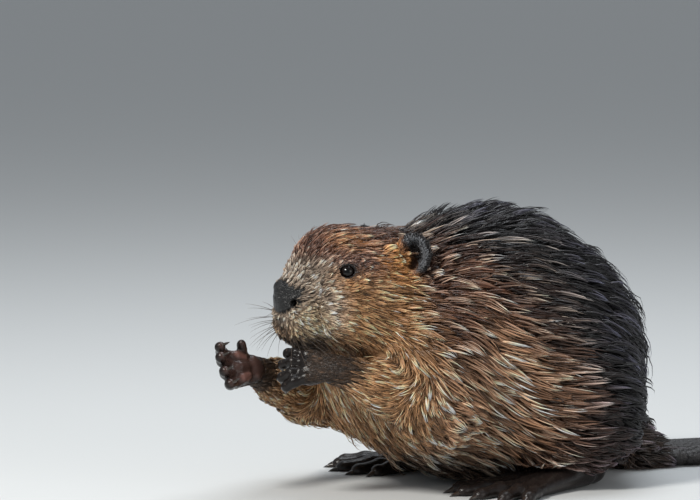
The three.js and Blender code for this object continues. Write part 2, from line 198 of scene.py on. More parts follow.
def fur_form(p):
    """The outside of the coat, without the arms below the elbow."""

    def part(at, radii, turn):
        return ball(p, at, radii, turn)

    trunk = joined(
        [
            ball(p, (0, -38, 108), (106, 104, 98)),
            ball(p, (0, 22, 100), (124, 110, 100)),
            ball(p, (0, 6, BACK_HEIGHT - 80), (84, 90, 79)),
            ball(p, (0, 62, 128), (84, 70, 74)),
            ball(p, (0, 72, 92), (98, 68, 92)),
            *both(part, (62, -84, 100), (46, 50, 60)),
            limb(p, (0, -45, 148), 70, (0, -90, 156), 56),
            limb(p, (0, -60, 96), 60, (0, -112, 118), 40),
        ],
        28,
    )
    body = blend(trunk, head_form(to_head(p)), 22)
    thighs = blend(*both(part, (92, 34, 70), (42, 66, 62), turn=-8), 10)
    tail_root = limb(p, (0, 92, 60), 52, (0, 164, 17), 21)
    return blend(blend(body, thighs, 20), tail_root, 26)


def coat_depth(p):
    """How far the skin lies inside the outside of the coat."""
    y, z = p[1], p[2]
    depth = 1.6 + 2.9 * smooth(-192, -150, y) + 4.0 * smooth(-140, -60, y)
    depth = depth - 3.5 * smooth(130, 165, y) - 2.0 * smooth(30, 5, z)
    depth = np.maximum(depth, 1.0)
    for side in SIDES.values():
        depth = depth * (0.3 + 0.7 * smooth(9, 28, how_far(p, from_head(EYES[side]))))
    return depth


# ---- Limbs, ears and tail ------------------------------------------------------------------------
def aimed(at, forward, palm):
    """A frame at a point whose -y runs forward and whose -z faces the palm."""
    y = -Vector(forward).normalized()
    z = -Vector(palm)
    z = (z - y * z.dot(y)).normalized()
    x = y.cross(z)
    return Matrix.Translation(Vector(at)) @ Matrix((x, y, z)).transposed().to_4x4()


ARMS = {
    "left": {"elbow": (80, -98, 70), "wrist": (42, -172, 108)},
    "right": {"elbow": (-78, -118, 68), "wrist": (-36, -204, 102)},
}
HAND_FRAMES = {
    "left": aimed(ARMS["left"]["wrist"], (-0.5, -0.8, 0.08), (-0.75, 0.1, -0.55)),
    "right": aimed(ARMS["right"]["wrist"], (0.2, -0.9, 0.1), (0.85, 0.1, 0.45)),
}
FOOT_FRAMES = {
    name: Matrix.Translation((76 * side, 58, 0)) @ Matrix.Rotation(math.radians(12 * side), 4, "Z")
    for name, side in SIDES.items()
}


def digit(start, yaw, pitch, curl, bones, radius, claw):
    """The joints of a finger or toe, and the line of its claw, in the hand's or foot's own frame."""

    def ahead(at, length, down):
        a, b = math.radians(yaw), math.radians(down)
        return (
            at[0] + length * math.cos(b) * math.sin(a),
            at[1] - length * math.cos(b) * math.cos(a),
            at[2] - length * math.sin(b),
        )

    joints = [(start, radius * 0.92)]
    down = pitch
    for n, length in enumerate(bones):
        joints.append((ahead(joints[-1][0], length, down), radius * (0.96 - 0.1 * n)))
        down += curl
    tip = ahead(joints[-1][0], radius * 0.3, down)
    joints.append((tip, radius * 0.72))
    root = ahead(tip, -radius * 0.9, down)
    line = []
    for n in range(9):
        share = n / 8
        at = ahead(root, claw[0] * share, down + curl * 0.5 * share)
        line.append((at[0], at[1], at[2] + radius * 0.4 * (1 - share)))
    return {"joints": joints, "claw": line, "wide": claw[1], "tall": claw[2]}


FINGERS = 4


def hand_digits(side):
    """Four fingers and the thumb, in the hand's own frame."""
    lengths = [(10, 9), (12, 10), (12, 10), (10, 8)]
    fingers = [
        digit((x, -25, -1), x * 1.7, 8, 33, lengths[n], 4.4, (12, 1.7, 2.0))
        for n, x in enumerate((-11.5, -4, 4, 11))
    ]
    thumb = digit((-12 * side, -10, -4), -38 * side, 30, 12, (7, 5), 3.6, (7, 1.5, 1.6))
    return [*fingers, thumb]


def foot_digits():
    """Five toes, in the foot's own frame."""
    lengths = [(22, 18), (26, 22), (28, 24), (27, 22), (22, 18)]
    return [
        digit((x, -80, 6.5), x * 1.15, 2, 5, lengths[n], 6.6 - 0.3 * abs(n - 2), (17, 3.0, 2.3))
        for n, x in enumerate((-22, -12, 0, 12, 22))
    ]


def place(matrix, at):
    return tuple(matrix @ Vector(at))


def in_frame(points, matrix):
    return (points - np.array(matrix.translation)) @ np.array(matrix.to_3x3())


def bone(p, matrix, start, start_radius, end, end_radius):
    """A limb whose ends are given in the matrix's own frame."""
    return limb(p, place(matrix, start), start_radius, place(matrix, end), end_radius)


def digit_bones(p, matrix, one):
    return [bone(p, matrix, *a, *b) for a, b in zip(one["joints"], one["joints"][1:])]


def arm_ends(name, kind=float):
    """The elbow and the wrist of an arm."""
    return (np.array(ARMS[name][end], dtype=kind) for end in ("elbow", "wrist"))


def palm_pads():
    """Three pads behind the fingers and the heel of the hand, in the hand's own frame."""
    return [
        *[((x, -21, -5), 4.2, (x * 0.8, -15, -5), 4.0) for x in (-10, 0, 10)],
        ((-6, -4, -4), 5.0, (6, -4, -4), 5.0),
    ]


def hand_form(p, name):
    """Palm, fingers, thumb and pads of a hand."""
    matrix = HAND_FRAMES[name]
    digits = hand_digits(SIDES[name])
    bones = []
    for n, one in enumerate(digits):
        start = one["joints"][0][0]
        knuckle = (start[0], start[1], start[2] + 1.4)
        if n < FINGERS:
            bones.append(bone(p, matrix, (start[0] * 0.3, 2, 1), 7.4, knuckle, 5.0))
        bones += digit_bones(p, matrix, one)
    palm = bone(p, matrix, (0, 10, 1), 8.5, (0, -20, -1), 8.0)
    pads = [bone(p, matrix, *ends) for ends in palm_pads()]
    return joined([palm, *bones, *pads], 3.2)


# The web between the toes is a fan round a point behind them: its half-angle, radii and thickness.
WEB_BEHIND = 32.0
WEB_HALF_ANGLE = 25.3
WEB_GAP = WEB_HALF_ANGLE / 2
WEB_REACH = 92.0
WEB_START = 40.0
WEB_HEIGHT = 3.6
WEB_HALF_THICKNESS = 1.7
RADIANS_PER_DEGREE = 0.0175


def foot_form(p, name):
    """Sole, toes and web of a hind foot."""
    matrix = FOOT_FRAMES[name]
    bones = []
    for one in foot_digits():
        start = one["joints"][0][0]
        bones.append(bone(p, matrix, (start[0] * 0.35, -14, 12), 11.0, start, 7.0))
        bones += digit_bones(p, matrix, one)
    sole = joined([bone(p, matrix, (0, 4, 13), 13.0, (0, -30, 12), 14.0), *bones], 4.0)
    c, s = matrix[0][0], matrix[1][0]
    dx, dy = p[0] - matrix[0][3], p[1] - matrix[1][3]
    x, y = c * dx + s * dy, c * dy - s * dx
    out = np.sqrt(x * x + (y + WEB_BEHIND) ** 2)
    angle = np.degrees(np.arctan2(x, -(y + WEB_BEHIND)))
    wave = np.abs(np.sin(np.radians(180 * (angle + WEB_HALF_ANGLE) / WEB_GAP)))
    scallop = WEB_REACH - 9 * wave - 0.004 * angle**2
    edge = (np.abs(angle) - WEB_HALF_ANGLE) * out * RADIANS_PER_DEGREE
    web = np.maximum(np.maximum(out - scallop, edge), WEB_START - out)
    web = np.maximum(web, np.abs(p[2] - WEB_HEIGHT) - WEB_HALF_THICKNESS)
    return blend(sole, web, 3.0)


def forearm_form(p, name):
    elbow, wrist = arm_ends(name)
    shares = (-0.1, 0.15, 0.6, 1)
    radii = (22, 25.5, 20, 12.5)
    ends = [(elbow + (wrist - elbow) * share, radius) for share, radius in zip(shares, radii)]
    return joined([limb(p, *a, *b) for a, b in zip(ends, ends[1:])], 6)


TAIL_LENGTH, TAIL_WIDTH, TAIL_THICKNESS = 235.0, 122.0, 17.0


def tail_sizes(y):
    """Half-width and half-thickness of the paddle at a distance along the body."""
    t = np.clip((y - TAIL_START) / TAIL_LENGTH, 0.0, 1.0)
    rounding = np.where(t > 0.6, np.sqrt(np.maximum(1 - (np.maximum(t - 0.6, 0) / 0.4) ** 2.2, 0.004)), 1.0)
    opening = 0.46 + 0.54 * smooth(-0.1, 0.5, t)
    wide = TAIL_WIDTH / 2 * opening * rounding
    tall = TAIL_THICKNESS / 2 * (1.5 - 1.05 * t**0.6) * (0.35 + 0.65 * rounding)
    return wide, tall


def tail_form(p):
    wide, tall = tail_sizes(p[1])
    u, v = p[0] / wide, (p[2] - 0.8 * tall) / tall
    inside = np.sqrt(u * u + v * v)
    slope = np.sqrt((u / wide) ** 2 + (v / tall) ** 2)
    body = inside * (inside - 1) / np.maximum(slope, 1e-6)
    body = np.where(inside < 0.05, -tall, body)
    return np.maximum(np.maximum(body, p[1] - TAIL_START - TAIL_LENGTH + 0.5), TAIL_START - 30 - p[1])


EAR = {"long": 18.0, "wide": 15.0, "deep": 14.0, "facing": 38.0, "lean": 12.0, "apart": 90.0}


def ear_frame(side):
    """The bowl of the ear opens along +y of this frame, and stands up along z."""
    return (
        Matrix.Translation((side * (EAR["apart"] / 2 + 1), 2, 0))
        @ Matrix.Rotation(side * math.radians(-90 - EAR["facing"]), 4, "Z")
        @ Matrix.Rotation(math.radians(EAR["lean"]), 4, "X")
    )


def ear_place(side):
    return np.array(ear_frame(side).translation)


def ear_form(q, side):
    """Distances to the bowl of an ear and to the hole at its root."""
    back = ear_frame(side).inverted()
    r = [back[i][0] * q[0] + back[i][1] * q[1] + back[i][2] * q[2] + back[i][3] for i in range(3)]
    outer = ball(r, (0, 0, 0), (EAR["wide"] - 0.6, EAR["deep"] - 0.6, EAR["long"] - 0.6))
    inner = ball(r, (0, 2.5, 0), (EAR["wide"] - 4.2, EAR["deep"] - 3.0, EAR["long"] - 4.4))
    bowl = carve(np.maximum(outer, r[1] - 1.6), inner, 2.0)
    hole = ball(r, (0, -4, -6), (5.0, 9.0, 6.0))
    return bowl, hole


# ---- The face ------------------------------------------------------------------------------------
EYE_RADIUS = 7.0
LID_THICKNESS = 1.2
COBBLE_HEIGHT = 0.22
# The line of the closed mouth on the left side, as points of the head's frame and radii.
LIPS = (((0, -97, -70), 2.2), ((14, -92, -72), 2.2), ((28, -75, -69), 1.8), ((38, -58, -62), 1.0))


def eye_centre(side):
    """The centre of the eyeball in the head's frame, from the part's own eye."""
    low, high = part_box(f"eye_{'left' if side > 0 else 'right'}")
    middle = np.array([(a + b) * 500.0 for a, b in zip(low, high)]) - SHIFT
    return np.array(to_head(middle))


EYES = {side: eye_centre(side) for side in SIDES.values()}
EYE_LOOK = {side: Vector((0.87 * side, -0.46, 0.18)).normalized() for side in SIDES.values()}


def eye_axes(side):
    """The way an eye looks, and the ways across and up its opening."""
    look = EYE_LOOK[side]
    across = Vector((0, 0, 1)).cross(look).normalized()
    return look, across, look.cross(across)


def eye_parts(q, side):
    """The distance from the middle of an eyeball, and its parts ahead of, across and up the eye."""
    d = [q[i] - EYES[side][i] for i in range(3)]
    out = [sum(d[i] * v[i] for i in range(3)) for v in eye_axes(side)]
    return how_far(q, EYES[side]), out


def face_form(q, body, ears=True):
    """Adds the lids, nose pad, nostrils, lips and ears to the body's distance."""
    for side in SIDES.values():
        radius, (out, across, over) = eye_parts(q, side)
        body = blend(body, radius - (EYE_RADIUS + LID_THICKNESS), 5.0)
        aperture = (np.sqrt((across / 5.8) ** 2 + ((over - 0.1) / 4.9) ** 2) - 1) * 5.3
        opening = np.maximum(np.maximum(aperture, 1.0 - out), radius - 16)
        body = carve(body, opening, 1.2)
        if ears:
            bowl, hole = ear_form(q, side)
            body = carve(blend(body, bowl, 3.0), hole, 2.0)
    m = mirrored(q)
    # The nose pad stands a little proud, with comma-shaped nostrils in the wings at its sides.
    wing = ball(m, (15.2, -89.5, -38), (8.4, 6.6, 8.6), turn=28)
    crown = ball(m, (7.5, -92.0, -27.5), (9.5, 6.8, 7.0), turn=14)
    proud = np.minimum(np.minimum(body - 1.1, wing), crown)
    rows = np.sin(1.7 * q[0] + 0.6 * q[2]) * np.sin(1.9 * q[2] - 0.5 * q[0]) * np.sin(1.6 * q[1] + 1)
    pad = np.maximum(proud + COBBLE_HEIGHT * rows, body - 3.0)
    body = blend(body, np.maximum(pad, pad_form(q)), 1.2)
    slit = [
        limb(m, (18.2, -97, -39.4), 3.1, (14.0, -86, -37), 2.5),
        limb(m, (18.4, -94.5, -37.0), 2.0, (20.2, -91.0, -31.5), 0.9),
        limb(m, (20.2, -91.0, -31.5), 0.9, (17.0, -93.5, -27.5), 0.6),
    ]
    body = carve(body, joined(slit, 1.5), 1.2)
    fold = limb(m, (3.5, -102.0, -33.5), 0.7, (11.5, -99.0, -32.0), 0.9)
    septum = limb(q, (0, -103.5, -24), 1.0, (0, -104, -46), 2.0)
    cleft = limb(q, (0, -102, -46), 1.2, (0, -98, -62), 1.6)
    for form, edge in ((fold, 1.6), (septum, 2.4), (cleft, 1.6)):
        body = carve(body, form, edge)
    mouth = [limb(m, *a, *b) for a, b in zip(LIPS, LIPS[1:])]
    return carve(body, joined(mouth, 2), 2.4)


def pad_form(q):
    """The region of the nose's bare pad, widest at the nostrils and narrowing to the lip."""
    x = np.abs(q[0]) * (1 + 0.55 * smooth(-41, -49, q[2]) + 0.25 * smooth(-30, -20, q[2]))
    region = (np.sqrt((x / 20.4) ** 2 + ((q[2] + 33.5) / 13.6) ** 2) - 1) * 14
    return np.maximum(region, q[1] + 80)


def near(body, p, low, high, change):
    """Changes the distances of the points inside a box only. The points are a grid's axes or a flat list."""
    if p[0].ndim == 3:
        cut = [slice(*np.searchsorted(p[i].ravel(), (low[i], high[i]))) for i in range(3)]
        part = (p[0][cut[0]], p[1][:, cut[1]], p[2][:, :, cut[2]])
        index = tuple(cut)
    else:
        index = np.ones(len(p[0]), dtype=bool)
        for i in range(3):
            index &= (p[i] > low[i]) & (p[i] < high[i])
        part = tuple(v[index] for v in p)
    if part[0].size and part[1].size and part[2].size:
        body[index] = change(part, body[index])
    return body


TAIL_BOX = (-80, TAIL_START - 40, -20), (80, 420, 60)
FACE_BOX = (-95, -232, 80), (95, -50, 245)


def around(points, reach):
    """The corners of the box round the points, wider by a reach."""
    points = np.array(points, dtype=float)
    return points.min(axis=0) - reach, points.max(axis=0) + reach


def skin_form(p, face=True, ears=True):
    """The bare skin: the coat's form less its depth, with arms, feet, tail and face."""
    body = fur_form(p) + coat_depth(p)
    for name in SIDES:

        def with_arm(part, inside, name=name):
            limbs = blend(forearm_form(part, name) + 3.0, hand_form(part, name), 6.0)
            return blend(inside, limbs, 10.0)

        def with_foot(part, inside, name=name):
            return blend(inside, foot_form(part, name), 9.0)

        tips = [place(HAND_FRAMES[name], (x, -58, z)) for x in (-30, 30) for z in (-40, 10)]
        body = near(body, p, *around([*ARMS[name].values(), *tips], 32), with_arm)
        corners = [place(FOOT_FRAMES[name], at) for at in ((-60, 20, 10), (60, -160, 10))]
        body = near(body, p, *around(corners, 26), with_foot)

    def with_tail(part, inside):
        return blend(inside, tail_form(part), 14.0)

    def with_face(part, inside):
        return face_form(to_head(part), inside, ears)

    body = near(body, p, *TAIL_BOX, with_tail)
    if face:
        body = near(body, p, *FACE_BOX, with_face)
    return np.maximum(body, 0.3 - p[2])


# ---- From distances to a mesh --------------------------------------------------------------------
def smooth_form(p):
    """The skin without its ears, which the coat of the head lies along."""
    return skin_form(p, ears=False)


def surface_nets(low, high, cell):
    """Points and four-sided faces where the skin's distance is zero, on a grid of cubes."""
    axes = [np.arange(low[i], high[i] + cell, cell, dtype=np.float32) for i in range(3)]
    p = (axes[0][:, None, None], axes[1][None, :, None], axes[2][None, None, :])
    value = skin_form(p)
    inside = value < 0
    n = [len(a) - 1 for a in axes]
    count = np.zeros(n, dtype=np.int8)
    for i in (0, 1):
        for j in (0, 1):
            for k in (0, 1):
                count += inside[i : n[0] + i, j : n[1] + j, k : n[2] + k]
    mixed = (count > 0) & (count < 8)
    cubes = np.argwhere(mixed)
    number = np.full(n, -1, dtype=np.int64)
    number[mixed] = np.arange(len(cubes))
    total = np.zeros((len(cubes), 3))
    crossings = np.zeros(len(cubes))
    corners = [np.array((i, j, k)) for i in (0, 1) for j in (0, 1) for k in (0, 1)]
    for a in corners:
        for axis in range(3):
            if a[axis]:
                continue
            b = a.copy()
            b[axis] = 1
            va = value[tuple((cubes + a).T)]
            vb = value[tuple((cubes + b).T)]
            cross = (va < 0) != (vb < 0)
            t = np.where(cross, va / np.where(cross, va - vb, 1), 0)
            total += cross[:, None] * (a + (b - a) * t[:, None])
            crossings += cross
    points = (cubes + total / crossings[:, None]) * cell + np.array([a[0] for a in axes])
    quads = []
    for axis in range(3):
        u, v = (axis + 1) % 3, (axis + 2) % 3
        ahead = np.zeros(3, dtype=int)
        ahead[axis] = 1
        first = inside[tuple(slice(1, n[i]) for i in range(3))]
        other = inside[tuple(slice(1 + ahead[i], n[i] + ahead[i]) for i in range(3))]
        edges = np.argwhere(first != other) + 1
        step_u, step_v = np.eye(3, dtype=int)[u], np.eye(3, dtype=int)[v]
        ring = [edges, edges - step_u, edges - step_u - step_v, edges - step_v]
        quad = np.stack([number[tuple(r.T)] for r in ring], axis=1)
        turned = ~inside[tuple(edges.T)]
        quad[turned] = quad[turned][:, ::-1]
        quads.append(quad)
    return points, np.concatenate(quads)


# Lengths in millimetres of the edges of the skin's mesh.
BODY_EDGE, FACE_EDGE, FINEST_EDGE = 3.0, 1.3, 0.75
SKIN_CELL = 2.0
SKIN_BOX = (-152, -270, -4), (152, 412, 244)
COARSE_SHARE = 0.3


def detail(p):
    """The edge length in millimetres that the skin's mesh needs at points of the body's frame."""
    q = to_head(p)
    need = np.where(q[1] < -46, FACE_EDGE, BODY_EDGE)
    for side in SIDES.values():
        need = np.where(how_far(q, EYES[side]) < 11.5, FINEST_EDGE, need)
        need = np.where(how_far(q, ear_place(side)) < 22, FACE_EDGE, need)
    return np.where(pad_form(q) < 2.5, FINEST_EDGE, need)


def gradient(form, points, h=0.35):
    """The slope of a form's distance at the points."""
    points = np.asarray(points, dtype=np.float64)
    out = np.zeros_like(points)
    for axis in range(3):
        step = np.zeros(3)
        step[axis] = h
        out[:, axis] = (form(tuple((points + step).T)) - form(tuple((points - step).T))) / (2 * h)
    return out


def onto(form, points, rounds=3, level=0.0, most=2.0):
    """Moves points along the slope onto the surface where the form's distance is the level."""
    points = np.array(points, dtype=np.float64)
    for _ in range(rounds):
        slope = gradient(form, points)
        steep = np.maximum(np.linalg.norm(slope, axis=1), 0.3)
        push = np.clip((form(tuple(points.T)) - level) / steep, -most, most)
        points -= slope / steep[:, None] * push[:, None]
    return points


def bare_part(p):
    """Which points of the skin keep their fine mesh: those of the head, ears, hands and hind feet."""
    points = np.stack(p, axis=1)
    keep = (points[:, 1] < -110) & (points[:, 2] > 96)
    keep |= (points[:, 2] < 34) & (np.minimum(foot_form(p, "left"), foot_form(p, "right")) < 6)
    keep |= np.minimum(hand_form(p, "left"), hand_form(p, "right")) < 8
    for side in SIDES.values():
        keep |= np.linalg.norm(points - from_head(ear_place(side)), axis=1) < 26
    return keep


def build_skin_mesh():
    """The skin as an object, still in millimetres, with an array of its points."""
    points, quads = surface_nets(*SKIN_BOX, SKIN_CELL)
    mesh = bpy.data.meshes.new("skin")
    mesh.from_pydata(points.tolist(), [], quads.tolist())
    skin = new_object("skin", mesh)
    group = skin.vertex_groups.new(name="coarse")
    keep = bare_part(tuple(points.T))
    group.add(np.flatnonzero(~keep).tolist(), 1.0, "REPLACE")
    thin = skin.modifiers.new("thin", "DECIMATE")
    thin.vertex_group = "coarse"
    thin.ratio = COARSE_SHARE
    graph = bpy.context.evaluated_depsgraph_get()
    reduced = bpy.data.meshes.new_from_object(skin.evaluated_get(graph))
    skin.modifiers.clear()
    skin.vertex_groups.clear()
    skin.data = reduced
    bm = bmesh.new()
    bm.from_mesh(reduced)
    for _ in range(2):
        ends = np.array([(*e.verts[0].co, *e.verts[1].co) for e in bm.edges])
        need = detail(tuple(((ends[:, :3] + ends[:, 3:]) / 2).T))
        length = np.linalg.norm(ends[:, :3] - ends[:, 3:], axis=1)
        bm.edges.ensure_lookup_table()
        long = [bm.edges[n] for n in np.flatnonzero(length > need * 1.25)]
        bmesh.ops.subdivide_edges(bm, edges=long, cuts=1, use_grid_fill=True)
    bmesh.ops.triangulate(bm, faces=[f for f in bm.faces if len(f.verts) > 4])
    flat = onto(skin_form, [v.co for v in bm.verts], rounds=3)
    for vert, at in zip(bm.verts, flat.tolist()):
        vert.co = at
    bm.to_mesh(reduced)
    bm.free()
    return skin, flat


# ---- Markings ------------------------------------------------------------------------------------
def srgb(*values):
    """A colour as the eye reads it, from 0 to 255, as linear light."""
    v = np.array(values) / 255.0
    return np.where(v <= 0.04045, v / 12.92, ((v + 0.055) / 1.055) ** 2.4)


def mix(a, b, share):
    """The colour at a share of the way from a to b."""
    return a + (b - a) * np.asarray(share)[..., None]


def tint(name):
    """A colour of the coat or the hide, as the panel has it."""
    return np.array(getattr(bpy.context.scene.beaver_colours, name), dtype=float)


def everywhere(name, points):
    """One of those colours at each of the points."""
    return np.tile(tint(name), (len(points), 1))


def spot(q, at, radii):
    """1 at a place, falling to 0 at the given half-axes."""
    d = np.sqrt(sum(((q[i] - at[i]) / radii[i]) ** 2 for i in range(3)))
    return smooth(1.0, 0.25, d)


# Patches of colour on the head: how strong, where, and how wide.
ORANGE_PATCHES = (
    (0.9, (44, -14, -8), (24, 28, 30)),
    (0.6, (38, -58, -20), (24, 30, 16)),
    (0.35, (30, -52, 14), (30, 30, 18)),
)
# The dark fur of the chin and lower lip, deepened by painted shade under the chin and in front of the mouth.
DARK_CHIN_AND_SHADE = (
    (0.9, (0, -84, -74), (40, 34, 17)),
    (0.92, (0, -104, -62), (27, 20, 25)),
)


def off_hands(points):
    """The distance in millimetres from the nearer hand."""
    p = axes_of(points)
    return np.minimum(hand_form(p, "left"), hand_form(p, "right"))


def coat_colour(points):
    """The coat's colour at points of the body's frame, without its streaks: its own markings, and painted
    shade under the chin and in front of the mouth.
    """
    p = axes_of(points)
    q = to_head(p)
    x, y, z = p
    side = np.abs(x)
    drift = 14 * waves(points, 70, 3)
    low = smooth(216, 170, z + drift)
    reach = y + drift + 0.35 * (z - 110)
    colour = mix(tint("back")[None, :], tint("flank"), low * smooth(40, -50, reach))
    colour = mix(colour, tint("warm"), 0.85 * smooth(165, 100, z + drift) * smooth(20, -70, y + drift))
    colour = mix(colour, tint("belly"), smooth(60, 25, z) * smooth(90, 40, side))
    colour = mix(colour, tint("dark"), 0.6 * smooth(110, 160, y))
    head = smooth(10, -20, q[1])
    drift = drift * 0.35
    colour = mix(colour, tint("crown"), head * smooth(-46, -10, q[2] + drift))
    colour = mix(colour, tint("cheek"), head * smooth(-6, -30, q[2] + drift))
    m = mirrored(q)
    for share, at, radii in ORANGE_PATCHES:
        colour = mix(colour, tint("orange"), share * spot(m, at, radii))
    snout = smooth(-62, -82, q[1] + drift) * smooth(2, -12, q[2]) * smooth(-66, -50, q[2])
    colour = mix(colour, tint("grey"), 0.85 * snout)
    colour = mix(colour, tint("pale"), 0.95 * spot(m, (28, -83, -57), (26, 24, 25)))
    # Painted shade under the chin and in front of the mouth, over the dark fur there.
    for share, at, radii in DARK_CHIN_AND_SHADE:
        colour = mix(colour, tint("dark"), share * spot(m, at, radii))
    colour = mix(colour, tint("dark"), 0.93 * smooth(22, 4, off_hands(points)))
    colour = mix(colour, tint("dark"), 0.6 * spot(m, (20, -84, -20), (8, 8, 6)))
    for side in SIDES.values():
        colour = mix(colour, tint("dark"), 0.85 * spot(q, EYES[side], (14, 15, 12)))
    return colour


# ---- The lie of the coat -------------------------------------------------------------------------
# A place on the left side or the middle, and the way the hair runs there.
LIE = [
    ((0, -196, 176), (0, 0.8, 0.6)),
    ((0, -164, 206), (0, 1, 0.35)),
    ((0, -112, 222), (0, 1, 0.05)),
    ((24, -186, 158), (0.35, 0.92, 0.1)),
    ((22, -188, 140), (0.35, 0.85, -0.35)),
    ((0, -190, 132), (0, 0.7, -0.8)),
    ((0, -160, 116), (0, 0.95, -0.3)),
    ((34, -172, 168), (0.7, 0.7, 0.1)),
    ((34, -172, 142), (0.75, 0.6, -0.3)),
    ((44, -156, 192), (0.25, 0.95, 0.15)),
    ((52, -146, 166), (0.3, 0.93, -0.2)),
    ((52, -146, 140), (0.2, 0.85, -0.55)),
    ((58, -112, 190), (0.2, 0.95, -0.1)),
    ((58, -74, 192), (0.25, 0.95, -0.3)),
    ((0, -60, 226), (0, 1, 0)),
    ((82, -92, 160), (0.2, 0.8, -0.6)),
    ((86, -60, 168), (0.15, 0.85, -0.5)),
    ((104, -70, 116), (0.1, 0.72, -0.7)),
    ((60, -128, 100), (0.1, 0.35, -0.95)),
    ((0, -140, 104), (0, 0.2, -1)),
    ((0, 0, 238), (0, 1, 0.05)),
    ((70, -10, 208), (0.2, 0.96, -0.1)),
    ((112, 0, 140), (0.05, 0.96, -0.22)),
    ((112, -40, 96), (0.05, 0.9, -0.4)),
    ((118, -20, 70), (0, 0.98, -0.1)),
    ((0, 90, 190), (0, 0.8, -0.6)),
    ((100, 40, 150), (0, 0.93, -0.3)),
    ((80, 100, 130), (-0.1, 0.75, -0.6)),
    ((0, 138, 90), (0, 0.15, -1)),
    ((126, 40, 74), (0, 0.97, -0.12)),
    ((110, 0, 40), (0.05, 0.95, 0.05)),
    ((0, -60, 16), (0, 1, -0.1)),
    ((0, 30, 2), (0, 1, 0)),
    ((0, 150, 46), (0, 0.7, -0.6)),
    ((34, 150, 22), (0.05, 0.95, -0.2)),
]


def lie_at(points):
    """The way the hair runs at points of the body's frame, before it is laid on the skin."""
    points = np.asarray(points, dtype=np.float32)
    total = np.zeros_like(points)
    weight = np.zeros(len(points), dtype=np.float32)
    for at, way in LIE:
        for side in SIDES.values() if at[0] else (1,):
            d = points - np.float32((at[0] * side, at[1], at[2]))
            w = 1.0 / ((d * d).sum(axis=1) + 60.0) ** 1.5
            total += w[:, None] * np.float32((way[0] * side, way[1], way[2]))
            weight += w
    total /= weight[:, None]
    for name in SIDES:
        elbow, wrist = arm_ends(name, np.float32)
        reach = np.linalg.norm(wrist - elbow)
        way = (wrist - elbow) / reach
        t = (points - elbow) @ way / reach
        on_arm = smooth(9, 3, forearm_form(tuple(points.T), name))
        share = (smooth(-0.15, 0.6, t) * on_arm)[:, None]
        # Between the flank and the forearm the hair turns by way of straight down.
        down = np.float32((0, 0, -1)) * share * (1 - share) * 3.0
        total = total * (1 - share) + way * share + down
        way = -np.array(HAND_FRAMES[name].col[1][:3], dtype=np.float32)
        share = smooth(5, 2, hand_form(tuple(points.T), name))[:, None]
        total = total * (1 - share) + way * share
    return total / np.linalg.norm(total, axis=1)[:, None]


def unit(v):
    return v / np.maximum(np.linalg.norm(v, axis=1), 1e-9)[:, None]


def along(vectors, normals):
    """Vectors laid flat on the surface."""
    return unit(vectors - normals * (vectors * normals).sum(axis=1)[:, None])


# ---- Where and how the coat grows ----------------------------------------------------------------
def furred(points):
    """From 0 on bare skin to 1 in the full coat."""
    p = axes_of(points)
    q = to_head(p)
    grow = np.ones(len(points))
    for name in SIDES:
        elbow, wrist = arm_ends(name)
        t = (points - elbow) @ (wrist - elbow) / ((wrist - elbow) ** 2).sum()
        on_arm = np.minimum(forearm_form(p, name), hand_form(p, name)) < 3
        local = in_frame(points, HAND_FRAMES[name])
        back = smooth(-2, 3, local[:, 2]) * smooth(-27, -15, local[:, 1])
        grow = np.where(on_arm, grow * np.maximum(smooth(1.02, 0.9, t), 0.8 * back), grow)
        grow *= smooth(0.5, 5.0, foot_form(p, name))
    grow *= smooth(TAIL_START + 8, TAIL_START - 2, p[1])
    grow *= smooth(-1.0, 1.0, pad_form(q) + 1.4 * waves(points, 5, 7))
    for side in SIDES.values():
        radius, (out, across, over) = eye_parts(q, side)
        rim = np.sqrt((across / 6.7) ** 2 + (over / 5.8) ** 2)
        grow = np.where((radius < 14) & (out > -2), grow * smooth(1.0, 1.16, rim), grow)
    return grow


def in_ear_frames(points):
    """The points in the frame of the ear that is nearer, and which side that is."""
    q = np.stack(to_head(axes_of(points)), axis=1)
    both_ears = [in_frame(q, ear_frame(side)) for side in SIDES.values()]
    left = q[:, 0] > 0
    return np.where(left[:, None], *both_ears), left


def on_ear(points):
    """How far the points are on an ear, in its bowl, out to its edge and towards its front."""
    r, left = in_ear_frames(points)
    x, y, z = r.T
    near_it = np.linalg.norm(r, axis=1) < 21
    off_head = smooth_form(axes_of(points)) > 0.9
    ear = (near_it & off_head).astype(float)
    bowl = ball((x, y, z), (0, 2.5, 0), (EAR["wide"] - 3.4, EAR["deep"] - 2.0, EAR["long"] - 3.6))
    inner = smooth(1.2, 0.0, bowl)
    reach = np.sqrt((x / EAR["wide"]) ** 2 + (z / EAR["long"]) ** 2)
    front = smooth(-2, 7, np.where(left, x, -x) - 0.5 * z)
    return ear, inner, reach, front


def near_ear(points):
    """The distance in millimetres from the middle of the nearer ear."""
    q = np.stack(to_head(axes_of(points)), axis=1)
    d = np.full(len(points), 99.0)
    for side in SIDES.values():
        d = np.minimum(d, np.linalg.norm(q - ear_place(side), axis=1))
    return d


def lock_length(points):
    """Length in millimetres of the locks that grow at points of the body's frame."""
    q = to_head(tuple(points.T))
    y = points[:, 1]
    length = 5.0 + 6.5 * smooth(-96, -62, q[1]) + 6.5 * smooth(-64, -30, q[1]) + 14.0 * smooth(-30, 40, q[1])
    length = length - 14.0 * smooth(110, 160, y)
    for name in SIDES:
        length = np.where(forearm_form(tuple(points.T), name) < 4, np.minimum(length, 14.0), length)
        near_foot = smooth(30, 6, foot_form(tuple(points.T), name))
        length = length * (1 - 0.55 * near_foot)
    for side in SIDES.values():
        radius, _ = eye_parts(q, side)
        length = np.minimum(length, 3.2 + 0.5 * np.maximum(radius - 9.0, 0))
    length = np.minimum(length, 4.0 + 1.2 * np.maximum(near_ear(points) - 17.0, 0))
    length = np.minimum(length, 5.5 + 0.8 * np.maximum(off_hands(points), 0))
    return np.maximum(length, 3.0) * (0.55 + 0.45 * furred(points))


